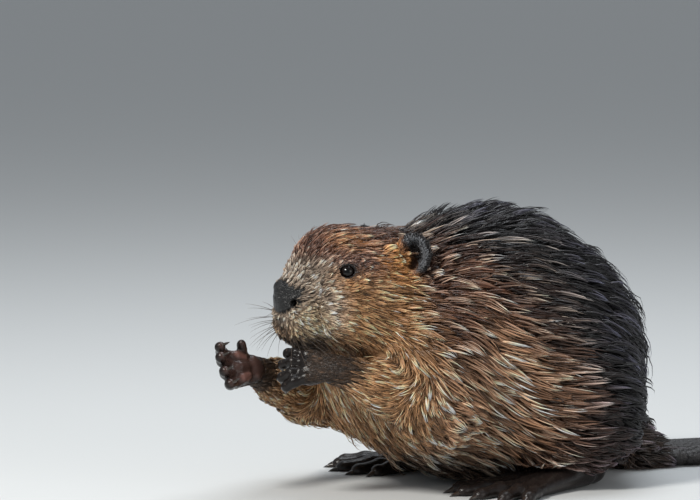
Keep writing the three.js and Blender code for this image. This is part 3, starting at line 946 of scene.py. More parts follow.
def lock_width(points):
    """Width in millimetres of the locks that grow at points of the body's frame."""
    y = points[:, 1]
    width = 0.55 + 0.2 * smooth(-200, -165, y) + 0.75 * smooth(-160, -50, y)
    width = np.minimum(width, 0.6 + 0.05 * np.maximum(off_hands(points), 0))
    return np.minimum(width, 0.55 + 0.06 * np.maximum(near_ear(points) - 17.0, 0))


class Skin:
    """The skin's triangles, with what the coat needs to stand on them."""

    def __init__(self, obj, flat):
        mesh = obj.data
        mesh.calc_loop_triangles()
        count = len(mesh.loop_triangles)
        loops = np.zeros(count * 3, dtype=np.int32)
        mesh.loop_triangles.foreach_get("loops", loops)
        corners = np.zeros(count * 3, dtype=np.int32)
        mesh.loop_triangles.foreach_get("vertices", corners)
        self.corner = flat[corners.reshape(-1, 3)]
        uv = np.zeros(len(mesh.loops) * 2, dtype=np.float32)
        mesh.uv_layers.active.data.foreach_get("uv", uv)
        self.uv = uv.reshape(-1, 2)[loops.reshape(-1, 3)]
        cross = np.cross(self.corner[:, 1] - self.corner[:, 0], self.corner[:, 2] - self.corner[:, 0])
        self.area = np.linalg.norm(cross, axis=1) / 2

    def scatter(self, density, rng):
        """Points at a number for each square millimetre of skin, with their places on the unwrap."""
        middle = self.corner.mean(axis=1)
        expected = self.area * density(middle)
        count = rng.poisson(expected)
        which = np.repeat(np.arange(len(count)), count)
        a, b = rng.random(len(which)), rng.random(len(which))
        flip = a + b > 1
        a[flip], b[flip] = 1 - a[flip], 1 - b[flip]
        share = np.stack([1 - a - b, a, b], axis=1)
        at = (self.corner[which] * share[:, :, None]).sum(axis=1)
        uv = (self.uv[which] * share[:, :, None]).sum(axis=1)
        return at, uv


def clumped(points, size):
    """Numbers the clump that each point belongs to, on a jittered grid of cells."""
    jitter = size * 0.35 * np.sin(points[:, [1, 2, 0]] / size * 1.7 + 0.6)
    keys = np.floor((points + jitter) / size).astype(np.int64)
    keys -= keys.min(axis=0)
    span = keys.max(axis=0) + 1
    flat = keys[:, 0] + span[0] * (keys[:, 1] + span[1] * keys[:, 2])
    _, member = np.unique(flat, return_inverse=True)
    return member


def waves(points, size, seed):
    """A smooth random value, mostly from -1 to 1, that changes over about the given size."""
    rng = np.random.default_rng(seed)
    total = np.zeros(len(points))
    for _ in range(5):
        way = rng.normal(size=3)
        way /= np.linalg.norm(way)
        total += np.sin(points @ way * (2 * math.pi / size) * rng.uniform(0.7, 1.4) + rng.uniform(0, 6.3))
    return total / 3.2


# A lock has this many steps from root to tip, and this share of its width at the start of each.
STEPS = 4
PROFILE = (0.7, 1.0, 0.82, 0.5)
TRIANGLES_A_LOCK = 6 * STEPS - 2
# The size of the patch that each lock takes on the unwrap, round its root's place there.
UNWRAP_PATCH = 0.003


def comb(roots, rng, length, lift, stand, gather, clump_size, wander, form=smooth_form, lie=lie_at):
    """The paths of locks from their roots, and the number of the clump that each lock is in."""
    count = len(roots)
    member = clumped(roots, clump_size)
    clumps = member.max() + 1
    turn = rng.normal(0, wander, clumps)[member] + rng.normal(0, wander * 0.6, count)
    turn += 0.22 * waves(roots, 46, 5)
    length = length * rng.lognormal(0, 0.16, clumps)[member] * rng.lognormal(0, 0.12, count)
    rise = rng.lognormal(0, 0.3, clumps)
    rise = np.where(rng.random(clumps) < 0.12, rise * 1.5, rise)
    height = lift * np.minimum(rise, 2.2)[member] * rng.lognormal(0, 0.22, count)
    stand = stand * (rng.random(clumps) ** 2)[member] * 2.2
    at = roots.copy()
    normal = unit(gradient(form, at, 0.6))
    path = [at - normal * 0.6]
    for step in range(STEPS):
        share = (step + 1) / STEPS
        way = along(lie(at), normal)
        across = np.cross(normal, way)
        bend = turn * (1 - 0.5 * share)
        way = way * np.cos(bend)[:, None] + across * np.sin(bend)[:, None]
        at = at + way * (length / STEPS)[:, None]
        distance = form(tuple(at.T))
        normal = unit(normal * 0.4 + gradient(form, at, 1.2))
        target = height * (math.sin(math.pi * (0.12 + 0.5 * share)) + stand * share**2)
        at = at + normal * np.clip(target - distance, -4.0, 9.0)[:, None]
        path.append(at)
    path = np.stack(path, axis=1)
    size = np.bincount(member, minlength=clumps)
    for step in range(1, STEPS + 1):
        middle = np.stack([np.bincount(member, path[:, step, i], clumps) / size for i in range(3)], axis=1)
        pull = gather * (step / STEPS) ** 1.2
        path[:, step] += (middle[member] - path[:, step]) * pull
    path[:, :, 2] = np.maximum(path[:, :, 2], 0.7)
    return path, member


def lock_mesh(name, path, width, uv, colour, rng):
    """Solid locks, each a tapered three-sided blade, with its place on the unwrap and its colour."""
    count = len(path)
    rings = STEPS
    tangent = np.gradient(path, axis=1)
    tangent /= np.maximum(np.linalg.norm(tangent, axis=2), 1e-9)[:, :, None]
    out = unit(gradient(skin_form, path[:, 0], 1.0))
    across = np.cross(tangent, out[:, None, :])
    across /= np.maximum(np.linalg.norm(across, axis=2), 1e-9)[:, :, None]
    over = np.cross(across, tangent)
    roll = rng.normal(0, 0.35, count)
    c, s = np.cos(roll)[:, None, None], np.sin(roll)[:, None, None]
    across, over = across * c + over * s, over * c - across * s
    half = width[:, None] / 2 * np.array(PROFILE)[None, :]
    body = path[:, :rings]
    points = np.stack(
        [
            body + across[:, :rings] * half[:, :, None],
            body + over[:, :rings] * half[:, :, None] * 0.75,
            body - across[:, :rings] * half[:, :, None],
        ],
        axis=2,
    ).reshape(count, rings * 3, 3)
    points = np.concatenate([points, path[:, rings:]], axis=1)
    points[:, :, 2] = np.maximum(points[:, :, 2], 0.1)
    per = rings * 3 + 1
    faces = [(0, 2, 1)]
    for ring in range(rings - 1):
        for k in range(3):
            a, b = ring * 3 + k, ring * 3 + (k + 1) % 3
            faces += [(a, b, b + 3), (a, b + 3, a + 3)]
    last = (rings - 1) * 3
    faces += [(last + k, last + (k + 1) % 3, per - 1) for k in range(3)]
    faces = np.array(faces)
    share_along = np.append(np.repeat(np.arange(rings) / rings, 3), 1.0)
    share_across = np.append(np.tile((0.0, 0.5, 1.0), rings), 0.5)
    index = (faces[None] + (np.arange(count) * per)[:, None, None]).reshape(-1)
    mesh = bpy.data.meshes.new(name)
    mesh.vertices.add(count * per)
    mesh.vertices.foreach_set("co", to_row(points.reshape(-1, 3)).astype(np.float32).ravel())
    total = count * len(faces)
    mesh.loops.add(total * 3)
    mesh.loops.foreach_set("vertex_index", index.astype(np.int32))
    mesh.polygons.add(total)
    mesh.polygons.foreach_set("loop_start", np.arange(0, total * 3, 3, dtype=np.int32))
    mesh.polygons.foreach_set("use_smooth", np.ones(total, dtype=bool))
    local = faces.reshape(-1)
    patch = np.stack([share_across[local] - 0.5, share_along[local] - 0.5], axis=1) * UNWRAP_PATCH
    bake = (uv[:, None, :] + patch[None]).reshape(-1, 2)
    strand = np.stack([share_across[local], share_along[local]], axis=1)
    strand = strand[None] + rng.random((count, 1, 2)) * 40
    for label, places in (("OFBake", bake), ("Strand", strand)):
        layer = mesh.uv_layers.new(name=label)
        layer.data.foreach_set("uv", places.astype(np.float32).ravel())
    paint(mesh, colour(share_along).reshape(-1, 3))
    mesh.update()
    return new_object(name, mesh)


# ---- Materials -----------------------------------------------------------------------------------
FLOAT, VECTOR = "NodeSocketFloat", "NodeSocketVector"


def node_group(name, inputs, outputs):
    """An empty shader group with its sockets and its two end nodes."""
    group = bpy.data.node_groups.new(name, "ShaderNodeTree")
    for label, kind, value in inputs:
        socket = group.interface.new_socket(name=label, in_out="INPUT", socket_type=kind)
        if value is not None:
            socket.default_value = value
    for label, kind in outputs:
        group.interface.new_socket(name=label, in_out="OUTPUT", socket_type=kind)
    return group, group.nodes.new("NodeGroupInput"), group.nodes.new("NodeGroupOutput")


def wire(tree, *pairs):
    for a, b in pairs:
        tree.links.new(a, b)


def math_node(tree, operation, *values):
    node = tree.nodes.new("ShaderNodeMath")
    node.operation = operation
    for n, value in enumerate(values):
        if isinstance(value, (int, float)):
            node.inputs[n].default_value = value
        else:
            tree.links.new(value, node.inputs[n])
    return node.outputs[0]


def range_node(tree, value, low, high):
    """Spreads the middle of a noise's range from low to high."""
    node = tree.nodes.new("ShaderNodeMapRange")
    for label, limit in (("From Min", 0.3), ("From Max", 0.7), ("To Min", low), ("To Max", high)):
        node.inputs[label].default_value = limit
    tree.links.new(value, node.inputs["Value"])
    return node.outputs["Result"]


def scaled(tree, vector, scale):
    node = tree.nodes.new("ShaderNodeVectorMath")
    node.operation = "MULTIPLY"
    tree.links.new(vector, node.inputs[0])
    node.inputs[1].default_value = scale
    return node.outputs[0]


def tinted(tree, colour, factor):
    """A colour made darker or lighter by a factor."""
    node = tree.nodes.new("ShaderNodeVectorMath")
    node.operation = "SCALE"
    tree.links.new(colour, node.inputs[0])
    tree.links.new(factor, node.inputs["Scale"])
    return node.outputs[0]


def strand_group():
    """Fine hairs along a lock: a shade that varies from hair to hair, their relief and a wet gloss."""
    group, inside, out = node_group(
        "Hair strands",
        [("Place", VECTOR, None), ("Hairs", FLOAT, 5.0), ("Contrast", FLOAT, 0.5)],
        [("Shade", FLOAT), ("Relief", FLOAT), ("Roughness", FLOAT)],
    )
    noise = group.nodes.new("ShaderNodeTexNoise")
    noise.inputs["Scale"].default_value = 1.0
    noise.inputs["Detail"].default_value = 2.0
    split = group.nodes.new("ShaderNodeSeparateXYZ")
    join = group.nodes.new("ShaderNodeCombineXYZ")
    across = math_node(group, "MULTIPLY", split.outputs[0], inside.outputs["Hairs"])
    down = math_node(group, "MULTIPLY", split.outputs[1], 0.9)
    wire(
        group,
        (inside.outputs["Place"], split.inputs[0]),
        (across, join.inputs[0]),
        (down, join.inputs[1]),
        (join.outputs[0], noise.inputs["Vector"]),
    )
    relief = range_node(group, noise.outputs["Fac"], 0.0, 1.0)
    low = math_node(group, "SUBTRACT", 1.0, inside.outputs["Contrast"])
    spread = math_node(group, "MULTIPLY", relief, inside.outputs["Contrast"])
    shade = math_node(group, "MULTIPLY_ADD", spread, 2.0, low)
    wire(
        group,
        (shade, out.inputs["Shade"]),
        (relief, out.inputs["Relief"]),
        (range_node(group, noise.outputs["Fac"], 0.24, 0.44), out.inputs["Roughness"]),
    )
    return group


def hide_group():
    """Creased bare hide: fine cells and coarser folds."""
    group, inside, out = node_group(
        "Creased hide",
        [("Place", VECTOR, None), ("Cells", FLOAT, 900.0)],
        [("Shade", FLOAT), ("Relief", FLOAT)],
    )
    cells = group.nodes.new("ShaderNodeTexVoronoi")
    cells.feature = "DISTANCE_TO_EDGE"
    folds = group.nodes.new("ShaderNodeTexNoise")
    folds.inputs["Scale"].default_value = 160.0
    folds.inputs["Detail"].default_value = 5.0
    wire(
        group,
        (inside.outputs["Place"], cells.inputs["Vector"]),
        (inside.outputs["Cells"], cells.inputs["Scale"]),
        (inside.outputs["Place"], folds.inputs["Vector"]),
    )
    edge = math_node(group, "MINIMUM", math_node(group, "MULTIPLY", cells.outputs["Distance"], 5.0), 1.0)
    fold = range_node(group, folds.outputs["Fac"], 0.0, 1.0)
    relief = math_node(group, "MULTIPLY_ADD", edge, 0.6, math_node(group, "MULTIPLY", fold, 0.8))
    shade = math_node(group, "MULTIPLY_ADD", relief, 0.45, 0.62)
    wire(group, (shade, out.inputs["Shade"]), (relief, out.inputs["Relief"]))
    return group


GROUPS = {}


def shared(make):
    """What a function makes, made once and then used again."""
    if make not in GROUPS:
        GROUPS[make] = make()
    return GROUPS[make]


def material(name, **sockets):
    """A material with values on its shader's own sockets."""
    made = bpy.data.materials.new(name)
    made.use_nodes = True
    tree = made.node_tree
    shader = tree.nodes["Principled BSDF"]
    for label, value in sockets.items():
        shader.inputs[label.replace("_", " ")].default_value = value
    return made, tree, shader


def place_group(tree, make, place, **values):
    """Puts a shared group into a material with values of its own."""
    node = tree.nodes.new("ShaderNodeGroup")
    node.node_tree = shared(make)
    tree.links.new(place, node.inputs["Place"])
    for label, value in values.items():
        node.inputs[label].default_value = value
    return node


def bump(tree, shader, height, strength, distance):
    node = tree.nodes.new("ShaderNodeBump")
    node.inputs["Strength"].default_value = strength
    node.inputs["Distance"].default_value = distance
    wire(tree, (height, node.inputs["Height"]), (node.outputs[0], shader.inputs["Normal"]))


def painted(tree, name="Coat"):
    node = tree.nodes.new("ShaderNodeAttribute")
    node.attribute_name = name
    return node.outputs["Color"]


def coat_material():
    made, tree, shader = material("wet_fur", Specular_IOR_Level=0.5)
    uv = tree.nodes.new("ShaderNodeUVMap")
    uv.uv_map = "Strand"
    strands = place_group(tree, strand_group, uv.outputs[0], Hairs=3.0, Contrast=0.45)
    wire(
        tree,
        (tinted(tree, painted(tree), strands.outputs["Shade"]), shader.inputs["Base Color"]),
        (strands.outputs["Roughness"], shader.inputs["Roughness"]),
    )
    bump(tree, shader, strands.outputs["Relief"], strength=0.5, distance=0.0002)
    return made


def hide_material(name, cells, strength, distance, **sockets):
    made, tree, shader = material(name, **sockets)
    place_node = tree.nodes.new("ShaderNodeTexCoord")
    hide = place_group(tree, hide_group, place_node.outputs["Object"], Cells=cells)
    wire(tree, (tinted(tree, painted(tree), hide.outputs["Shade"]), shader.inputs["Base Color"]))
    bump(tree, shader, hide.outputs["Relief"], strength, distance)
    return made


# ---- Pieces --------------------------------------------------------------------------------------
FLESH = ["head", "lower_jaw", "nose", "neck", "trunk", "tail_root", "tail_paddle"] + [
    f"{part}_{side}"
    for side in SIDES
    for part in ("ear", "upper_arm", "forearm", "hand", "hind_leg", "hind_foot")
]
SEEDS = {"coat": 11, "ear fur": 29, "whiskers": 31, "tail scales": 47}
STATE = {}


def finish_piece(obj, slot, *nodes):
    """Rides a piece on the body and hides the solids it stands for. The slot, which would say what the piece
    is made of, is not used.
    """
    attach(obj, "root")
    if nodes:
        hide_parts(*nodes)
    return obj


def paint(mesh, colours, name="Coat"):
    """Gives each point of a mesh its own colour."""
    layer = mesh.color_attributes.new(name, "FLOAT_COLOR", "POINT")
    rgba = np.ones((len(colours), 4), dtype=np.float32)
    rgba[:, :3] = colours
    layer.data.foreach_set("color", rgba.ravel())


def ear_colour(points):
    """Nearly black behind and along the edge, partly as painted shade, grey below it, darkening into the
    depth as painted shade, and coat at the front.
    """
    _, inner, reach, front = on_ear(points)
    # Painted shade: inside the bowl, the grey skin darkens into the depth.
    bowl = mix(everywhere("deep", points), tint("ear"), smooth(0.35, 0.75, reach) * smooth(1.1, 0.92, reach))
    # The back and the edge are nearly black, partly as painted shade.
    outer = mix(everywhere("ear_back", points), coat_colour(points), front)
    return mix(outer, bowl, inner * (1 - 0.7 * front))


# The step in millimetres over which the distance tells a palm from the back of a hand.
PALM_STEP = 1.2


def skin_colour(points):
    """The skin's colour: under the coat a darker coat, and bare hide elsewhere."""
    p = tuple(points.T)
    q = to_head(p)
    colour = coat_colour(points) * 0.55
    bare = 1 - smooth(0.0, 0.6, furred(points))
    hide = everywhere("foot", points)
    for name in SIDES:
        frame_of = HAND_FRAMES[name]
        local = in_frame(points, frame_of)
        on_hand = smooth(6, 2, hand_form(p, name))
        hide = mix(hide, tint("hand"), on_hand)
        over = hand_form(tuple(p[i] + PALM_STEP * frame_of[i][2] for i in range(3)), name)
        facing_palm = smooth(0.1, -0.75, (over - hand_form(p, name)) / PALM_STEP)
        hide = mix(hide, tint("palm"), on_hand * facing_palm * 0.8 * smooth(8, -8, local[:, 1]))
        pads = joined([limb(tuple(local.T), *ends) for ends in palm_pads()], 2.0)
        hide = mix(hide, tint("pads"), facing_palm * 0.75 * smooth(0.8, -0.8, pads))
    hide = mix(hide, tint("tail"), smooth(TAIL_START - 10, TAIL_START + 4, p[1]))
    colour = mix(colour, hide, bare)
    colour = mix(colour, tint("nose"), smooth(4.5, 1.5, pad_form(q)))
    colour = mix(colour, ear_colour(points), on_ear(points)[0])
    for side in SIDES.values():
        radius, _ = eye_parts(q, side)
        colour = mix(colour, tint("lid"), smooth(10.8, 9.0, radius))
    m = mirrored(q)
    lips = np.minimum(limb(m, *LIPS[0], *LIPS[1]), limb(m, *LIPS[1], (38, -58, -63), 1.4))
    return mix(colour, tint("lips"), smooth(3.0, 0.5, lips))


# The skin's materials in the order of its slots.
SKIN_KINDS = {
    "under_coat": {"cells": 500.0, "strength": 0.4, "distance": 0.0006, "Roughness": 0.75},
    "bare_hide": {
        "cells": 1100.0,
        "strength": 0.16,
        "distance": 0.0005,
        "Roughness": 0.24,
        "Specular_IOR_Level": 0.28,
    },
    "nose_hide": {
        "cells": 850.0,
        "strength": 0.5,
        "distance": 0.0008,
        "Roughness": 0.27,
        "Specular_IOR_Level": 0.5,
    },
    "tail_hide": {"cells": 420.0, "strength": 0.6, "distance": 0.0008, "Roughness": 0.45},
}


class BEAVER_OT_skin(bpy.types.Operator):
    """Meshes the skin inside the coat, with its folds, lids, nostrils, hands and webbed feet"""

    bl_idname = "beaver.skin"
    bl_label = "Skin"

    def execute(self, context):
        skin, flat = build_skin_mesh()
        mesh = skin.data
        mesh.vertices.foreach_set("co", to_row(flat).astype(np.float32).ravel())
        mesh.polygons.foreach_set("use_smooth", np.ones(len(mesh.polygons), dtype=bool))
        mesh.update()
        paint(mesh, skin_colour(flat))
        mesh.uv_layers.new(name="OFBake")
        context.view_layer.objects.active = skin
        skin.select_set(True)
        bpy.ops.object.mode_set(mode="EDIT")
        bpy.ops.mesh.select_all(action="SELECT")
        bpy.ops.uv.smart_project(angle_limit=1.15, island_margin=0.002, area_weight=0.5)
        bpy.ops.object.mode_set(mode="OBJECT")
        skin.select_set(False)
        for kind, look in SKIN_KINDS.items():
            mesh.materials.append(hide_material(kind, **look))
        middles = np.zeros(len(mesh.polygons) * 3, dtype=np.float32)
        mesh.polygons.foreach_get("center", middles)
        middles = middles.reshape(-1, 3) * 1000.0 - SHIFT
        under_coat, bare_hide, nose_hide, tail_hide = range(len(SKIN_KINDS))
        which = np.where(furred(middles) < 0.25, bare_hide, under_coat)
        which = np.where(pad_form(to_head(tuple(middles.T))) < 0.8, nose_hide, which)
        which = np.where(middles[:, 1] > TAIL_START, tail_hide, which)
        mesh.polygons.foreach_set("material_index", which.astype(np.int32))
        finish_piece(skin, "fur_back", *FLESH)
        STATE["skin"] = Skin(skin, flat)
        return {"FINISHED"}


def tube_faces(rings, sides):
    """The faces of a closed tube through rings of points."""
    faces = []
    for ring in range(rings - 1):
        for k in range(sides):
            a, b = ring * sides + k, ring * sides + (k + 1) % sides
            faces.append((a, a + sides, b + sides, b))
    last = (rings - 1) * sides
    return [*faces, tuple(range(sides)), tuple(reversed(range(last, last + sides)))]


def tapered(line, sizes, sides, up):
    """Rings of points round a line, and the faces of a closed tapered tube through them."""
    line = np.asarray(line, dtype=float)
    tangent = unit(np.gradient(line, axis=0))
    across = unit(np.cross(tangent, np.asarray(up, dtype=float)))
    over = np.cross(across, tangent)
    angle = np.arange(sides) * 2 * math.pi / sides
    wide, tall = np.array(sizes).T[:, :, None, None]
    points = (
        line[:, None]
        + across[:, None] * (np.cos(angle)[None, :, None] * wide)
        + over[:, None] * (np.sin(angle)[None, :, None] * tall)
    ).reshape(-1, 3)
    return points, tube_faces(len(line), sides)


def mesh_piece(name, parts, made):
    """One object from several (points, faces), with the points in the body's frame."""
    points, faces = [], []
    for at, ring in parts:
        start = sum(len(p) for p in points)
        points.append(at)
        faces += [tuple(v + start for v in face) for face in ring]
    mesh = bpy.data.meshes.new(name)
    mesh.from_pydata(to_row(np.concatenate(points)).tolist(), [], faces)
    mesh.polygons.foreach_set("use_smooth", np.ones(len(mesh.polygons), dtype=bool))
    bm = bmesh.new()
    bm.from_mesh(mesh)
    bmesh.ops.recalc_face_normals(bm, faces=bm.faces)
    bm.to_mesh(mesh)
    bm.free()
    mesh.materials.append(made)
    return new_object(name, mesh)


PUPIL, IRIS, EYE_RIM = srgb(6, 5, 5), srgb(20, 12, 9), srgb(14, 11, 10)
CORNEA_BULGE = 0.35
CORNEA_ANGLE = 0.62


class BEAVER_OT_eyes(bpy.types.Operator):
    """Sets both eyes in their lids, dark and wet, each with the bulge of its cornea"""

    bl_idname = "beaver.eyes"
    bl_label = "Eyes"

    def execute(self, context):
        made, tree, shader = material("eye", Roughness=0.05, Specular_IOR_Level=0.32)
        wire(tree, (painted(tree, "Iris"), shader.inputs["Base Color"]))
        for name, side in SIDES.items():
            look, across, over = eye_axes(side)
            turn = np.array(Matrix((across, over, look)).transposed())
            rings, sides = 41, 56
            theta = np.linspace(0, math.pi, rings)
            phi = np.arange(sides) * 2 * math.pi / sides
            bulge = EYE_RADIUS + CORNEA_BULGE * np.exp(-((theta / CORNEA_ANGLE) ** 2))
            wide = np.maximum(np.sin(theta) * bulge, 0.01)[:, None]
            ahead = np.repeat((np.cos(theta) * bulge)[:, None], sides, axis=1)
            points = np.stack([np.cos(phi)[None] * wide, np.sin(phi)[None] * wide, ahead], axis=2)
            local = points.reshape(-1, 3) @ turn.T + EYES[side]
            world = np.array([from_head(at) for at in local])
            obj = mesh_piece(f"eyeball_{name}", [(world, tube_faces(rings, sides))], made)
            from_middle = np.repeat(theta, sides)
            round_it = np.tile(phi, rings)
            fibres = 0.75 + 0.25 * np.sin(round_it * 23 + 2 * np.sin(round_it * 5))
            in_iris = smooth(0.32, 0.4, from_middle) * smooth(0.95, 0.8, from_middle)
            colour = mix(np.tile(PUPIL, (len(from_middle), 1)), IRIS[None] * fibres[:, None], in_iris)
            colour = mix(colour, EYE_RIM, smooth(0.9, 1.05, from_middle))
            paint(obj.data, colour, "Iris")
            finish_piece(obj, "eye", f"eye_{name}")
        return {"FINISHED"}


CLAW_ROOT, CLAW_TIP = srgb(74, 58, 46), srgb(30, 25, 22)
CLAW_SIDES = 10
CLAW_CLEARANCE = 0.2


class BEAVER_OT_claws(bpy.types.Operator):
    """Grows the claws of both hands and both hind feet"""

    bl_idname = "beaver.claws"
    bl_label = "Claws"

    def execute(self, context):
        made, tree, shader = material("claw_horn", Roughness=0.28, Specular_IOR_Level=0.6)
        place_node = tree.nodes.new("ShaderNodeTexCoord")
        grain = scaled(tree, place_node.outputs["Object"], (260.0, 260.0, 260.0))
        strands = place_group(tree, strand_group, grain, Hairs=1.0, Contrast=0.3)
        wire(tree, (tinted(tree, painted(tree), strands.outputs["Shade"]), shader.inputs["Base Color"]))
        bump(tree, shader, strands.outputs["Relief"], strength=0.25, distance=0.0003)
        for name, side in SIDES.items():
            for part, frame_of, digits, reach in (
                ("hand", HAND_FRAMES[name], hand_digits(side), 1.15),
                ("foot", FOOT_FRAMES[name], foot_digits(), 1.1),
            ):
                parts, colours = [], []
                up = frame_of.to_3x3() @ Vector((0, 0, 1))
                for one in digits:
                    line = np.array([place(frame_of, at) for at in one["claw"]])
                    share = np.linspace(0, 1, len(line))
                    thick = 1.15 * (1 - share**1.7) ** 0.8 + 0.06
                    sizes = [(one["wide"] * t, one["tall"] * t) for t in thick]
                    line = line[0] + (line - line[0]) * reach
                    line[:, 2] = np.maximum(line[:, 2], CLAW_CLEARANCE + one["tall"] * thick)
                    parts.append(tapered(line, sizes, CLAW_SIDES, up))
                    tone = mix(np.tile(CLAW_ROOT, (len(line), 1)), CLAW_TIP, share**0.8)
                    colours.append(np.repeat(tone, CLAW_SIDES, axis=0))
                obj = mesh_piece(f"claws_{part}_{name}", parts, made)
                paint(obj.data, np.concatenate(colours))
                finish_piece(obj, "bare_skin")
        return {"FINISHED"}


WHISKER_ROOT, WHISKER_TIP = srgb(34, 27, 23), srgb(96, 80, 66)
WHISKER_ROWS, WHISKERS_A_ROW, BROW_WHISKERS = 5, 5, 3
WHISKER_RINGS, WHISKER_SIDES = 9, 5


def whisker_roots(rng):
    """Root, direction, length and thickness of the left side's whiskers, in the head's frame."""
    found = []
    for row in range(WHISKER_ROWS):
        for n in range(WHISKERS_A_ROW):
            x, y, z = 13 + 2.2 * n, -102 + 4.4 * n, -48 - 4.2 * row
            root = np.array([x, y + rng.uniform(-1, 1), z + rng.uniform(-1, 1)])
            way = np.array([0.75 + 0.05 * n, -0.55 + 0.24 * n, 0.16 - 0.14 * row]) + rng.normal(0, 0.08, 3)
            found.append((root, way, rng.uniform(28, 46) + 3 * n, 0.3))
    for n in range(BROW_WHISKERS):
        found.append((np.array([36 + 3 * n, -66 + 5 * n, 6]), np.array([0.7, -0.1 + 0.2 * n, 0.6]), 24, 0.22))
    return found


class BEAVER_OT_whiskers(bpy.types.Operator):
    """Sets the whiskers in the upper lips and over the eyes"""

    bl_idname = "beaver.whiskers"
    bl_label = "Whiskers"

    def execute(self, context):
        rng = np.random.default_rng(SEEDS["whiskers"])
        made, tree, shader = material("whisker", Roughness=0.35)
        wire(tree, (painted(tree), shader.inputs["Base Color"]))
        for name, side in SIDES.items():
            parts, colours = [], []
            for root, way, length, thick in whisker_roots(rng):
                root, way = from_head(root * (side, 1, 1)), way * (side, 1, 1)
                start = onto(lambda p: skin_form(p, face=False), [root], rounds=6, level=-1.5, most=4.0)[0]
                heading = from_head(way) - from_head((0, 0, 0))
                heading /= np.linalg.norm(heading)
                share = np.linspace(0, 1, WHISKER_RINGS)
                droop = np.array((0, 0.22, -0.3))
                line = start + np.outer(share, heading) * length + np.outer(share**2, droop) * length * 0.5
                sizes = [(thick * (1 - 0.86 * t), thick * (1 - 0.86 * t)) for t in share]
                parts.append(tapered(line, sizes, WHISKER_SIDES, (0.3, 0.1, 1)))
                tone = mix(np.tile(WHISKER_ROOT, (WHISKER_RINGS, 1)), WHISKER_TIP, share)
                colours.append(np.repeat(tone, WHISKER_SIDES, axis=0))
            obj = mesh_piece(f"whiskers_{name}", parts, made)
            paint(obj.data, np.concatenate(colours))
            finish_piece(obj, "fur_muzzle")
        return {"FINISHED"}


SCALE_PITCH_X, SCALE_PITCH_Y = 6.4, 6.0
SCALE_SIDES = 8
# Rings of a scale from its root in the hide to its middle: share of its size, and height.
SCALE_RINGS = ((1.0, -0.35), (0.98, 0.25), (0.62, 0.75), (0.0, 0.9))


def scale_centres():
    """Staggered rows of places over the paddle."""
    centres = []
    row = 0
    y = TAIL_START + 4.0
    while y < TAIL_START + TAIL_LENGTH - 2:
        wide = float(tail_sizes(np.array([y]))[0][0])
        count = int((2 * wide - 3) / SCALE_PITCH_X)
        offset = 0.5 * (row % 2)
        for n in range(count + 1):
            x = (n - count / 2 + offset) * SCALE_PITCH_X
            if abs(x) < wide - 1.2:
                centres.append((x, y))
        y += SCALE_PITCH_Y
        row += 1
    return np.array(centres)


def scale_faces():
    """The faces of one scale: its underside, two rings of four-sided faces and a fan at the top."""
    top = 3 * SCALE_SIDES
    faces = [tuple(range(SCALE_SIDES))]
    for level in range(2):
        for k in range(SCALE_SIDES):
            a, b = level * SCALE_SIDES + k, level * SCALE_SIDES + (k + 1) % SCALE_SIDES
            faces.append((a, b, b + SCALE_SIDES, a + SCALE_SIDES))
    last = 2 * SCALE_SIDES
    return faces + [(last + k, last + (k + 1) % SCALE_SIDES, top) for k in range(SCALE_SIDES)]


class BEAVER_OT_tail_scales(bpy.types.Operator):
    """Covers the paddle of the tail with staggered, slightly overlapping scales"""

    bl_idname = "beaver.tail_scales"
    bl_label = "Tail scales"

    def execute(self, context):
        rng = np.random.default_rng(SEEDS["tail scales"])
        made = hide_material(
            "scale_hide", cells=900.0, strength=0.5, distance=0.0004, Roughness=0.42, Specular_IOR_Level=0.55
        )
        angle = np.arange(SCALE_SIDES) * 2 * math.pi / SCALE_SIDES + math.pi / SCALE_SIDES
        ring = np.stack([np.cos(angle) * SCALE_PITCH_X * 0.54, np.sin(angle) * SCALE_PITCH_Y * 0.66], axis=1)
        for face, up in (("upper", 1), ("under", -1)):
            centres = scale_centres()
            centres = centres + rng.normal(0, 0.25, centres.shape)
            grow = rng.uniform(0.92, 1.06, len(centres))
            layers = []
            for scale, lift in SCALE_RINGS:
                flat = centres[:, None] + ring[None] * (scale * grow)[:, None, None]
                if scale == 0.0:
                    flat = flat[:, :1]
                wide, tall = tail_sizes(flat[..., 1])
                u = np.clip(flat[..., 0] / wide, -0.999, 0.999)
                height = 0.8 * tall + up * tall * np.sqrt(1 - u * u)
                back = (flat[..., 1] - centres[:, None, 1]) / SCALE_PITCH_Y
                z = height + up * (lift + 0.45 * back * (scale > 0.5))
                z = np.maximum(z, 0.25 if up > 0 else 0.02 * scale)
                layers.append(np.stack([flat[..., 0], flat[..., 1], z], axis=-1))
            points = np.concatenate(layers, axis=1)
            count = points.shape[1]
            one = scale_faces()
            faces = [tuple(v + n * count for v in f) for n in range(len(centres)) for f in one]
            obj = mesh_piece(f"tail_scales_{face}", [(points.reshape(-1, 3), faces)], made)
            shade = rng.uniform(0.75, 1.25, len(centres))
            tone = tint("tail")[None, None] * shade[:, None, None] * np.ones((1, count, 1))
            # The sides of a scale are darker than its top, as painted shade.
            tone[:, : 2 * SCALE_SIDES] *= 0.6
            paint(obj.data, tone.reshape(-1, 3))
            finish_piece(obj, "tail_scales")
        return {"FINISHED"}


# ---- Coat ----------------------------------------------------------------------------------------
LAYERS = (
    {
        "name": "under_coat",
        "cover": 0.38,
        "length": 0.7,
        "lift": 0.62,
        "gather": 0.5,
        "clump": 0.8,
        "wander": 0.3,
        "bright": 0.5,
        "pieces": 4,
    },
    {
        "name": "guard_hair",
        "cover": 0.62,
        "length": 1.0,
        "lift": 1.0,
        "gather": 0.84,
        "clump": 1.0,
        "wander": 0.16,
        "bright": 1.0,
        "pieces": 5,
    },
)
